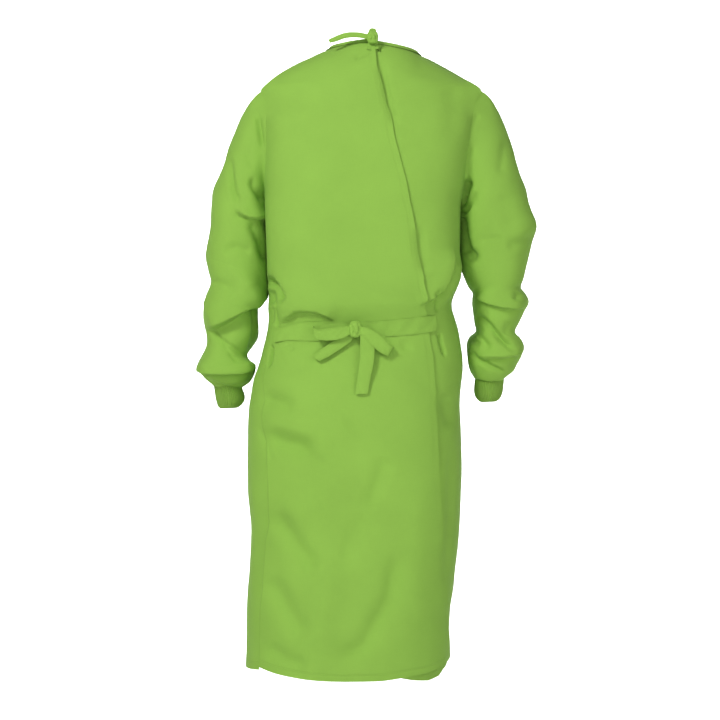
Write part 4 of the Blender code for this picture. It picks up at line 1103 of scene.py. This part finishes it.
tail_left = ribbon(
    "bow_tail_left_cloth",
    [
        (lie(350.5, 333.0, 0.0036), lie(353.0, 338.0, 0.0036)),
        (lie(343.0, 336.0, 0.0030), lie(350.0, 342.0, 0.0030)),
        (lie(331.0, 342.5, 0.0028), lie(339.0, 350.0, 0.0034)),
        (lie(321.0, 349.5, 0.0026), lie(328.5, 356.6, 0.0040)),
        (lie(312.8, 356.4, 0.0030), lie(319.0, 361.2, 0.0046)),
    ],
    "bow_tail_l",
    ["bow_tail_left"],
    cup=0.0012,
)
tail_right = ribbon(
    "bow_tail_right_cloth",
    [
        (lie(359.4, 331.0, 0.0120), lie(369.0, 330.0, 0.0125)),
        (lie(360.2, 338.0, 0.0124), lie(374.0, 339.0, 0.0132)),
        (lie(360.0, 352.0, 0.0108), lie(374.6, 351.0, 0.0120)),
        (lie(359.0, 366.0, 0.0092), lie(373.4, 364.0, 0.0104)),
        (lie(357.0, 380.0, 0.0056), lie(370.4, 378.0, 0.0060)),
        (lie(355.0, 394.4, 0.0030), lie(367.8, 393.6, 0.0032)),
    ],
    "bow_tail_r",
    ["bow_tail_right"],
    cup=0.0014,
)

# ---------------------------------------------------------------- neck tie
NECK_FACE = float(back_point(372, 46, 0.006)[1]) - 0.0030


def neck_spot(u, v, off=0.0):
    return at(u, v, NECK_FACE - off)


keep_face, FACE = FACE, NECK_FACE
knot(
    "neck_knot_cloth",
    (372.6, 37.2, 5.6, 6.4, 0.0062),
    0.0070,
    "root",
    ["neck_knot"],
    (("g", [(368, 33), (372, 37), (371, 42)], -0.0016, 0.9), ("g", [(373, 31), (377, 36), (376, 42)], -0.0014, 0.9), ("g", [(368, 40), (377, 39)], -0.0010, 0.8)),
)
FACE = keep_face
neck_end = ribbon(
    "neck_tie_end_cloth",
    [
        (neck_spot(369.4, 34.5, 0.0090), neck_spot(376.6, 35.2, 0.0080)),
        (neck_spot(368.8, 31.4, 0.0084), neck_spot(376.4, 31.8, 0.0064)),
        (neck_spot(369.6, 29.0, 0.0066), neck_spot(376.0, 29.4, 0.0044)),
        (neck_spot(371.4, 28.0, 0.0040), neck_spot(375.2, 28.4, 0.0020)),
    ],
    "root",
    ["neck_tie_end"],
    each=5,
    thickness=0.0010,
)
neck_tail = ribbon(
    "neck_tie_tail_cloth",
    [
        (neck_spot(370.0, 34.6, 0.0060), neck_spot(370.0, 40.4, 0.0060)),
        (neck_spot(365.6, 33.6, 0.0062), neck_spot(365.6, 39.0, 0.0062)),
        (neck_spot(359.0, 32.3, 0.0060), neck_spot(359.0, 37.8, 0.0060)),
        (neck_spot(351.0, 32.0, 0.0056), neck_spot(351.2, 37.6, 0.0056)),
        (neck_spot(343.0, 33.2, 0.0050), neck_spot(343.8, 38.8, 0.0050)),
        (neck_spot(335.0, 36.4, 0.0044), neck_spot(336.8, 41.4, 0.0044)),
        (neck_spot(328.0, 39.8, 0.0040), neck_spot(329.8, 43.0, 0.0040)),
    ],
    "neck_tail",
    ["neck_tie_tail"],
    cup=0.0010,
    thickness=0.0010,
)


def neck_lie(u, v, off):
    p = back_point(u, v, 0.0080)
    return at(u, v, float(p[1]) - off)


neck_left = ribbon(
    "neck_tie_left_cloth",
    [
        (neck_spot(369.0, 39.5, 0.0040), neck_spot(373.0, 40.5, 0.0040)),
        (neck_lie(368.0, 43.5, 0.0024), neck_lie(372.6, 44.2, 0.0024)),
        (neck_lie(366.6, 49.5, 0.0012), neck_lie(371.4, 50.2, 0.0012)),
    ],
    "root",
    ["neck_tie_left"],
    thickness=0.0009,
    cup=0.0008,
)
neck_right = ribbon(
    "neck_tie_right_cloth",
    [
        (neck_spot(374.0, 40.0, 0.0040), neck_spot(377.6, 39.4, 0.0040)),
        (neck_lie(374.4, 43.5, 0.0020), neck_lie(378.0, 43.2, 0.0020)),
        (neck_lie(375.4, 49.5, 0.0004), neck_lie(379.4, 48.8, 0.0004)),
    ],
    "root",
    ["neck_tie_right"],
    thickness=0.0009,
    cup=0.0008,
)
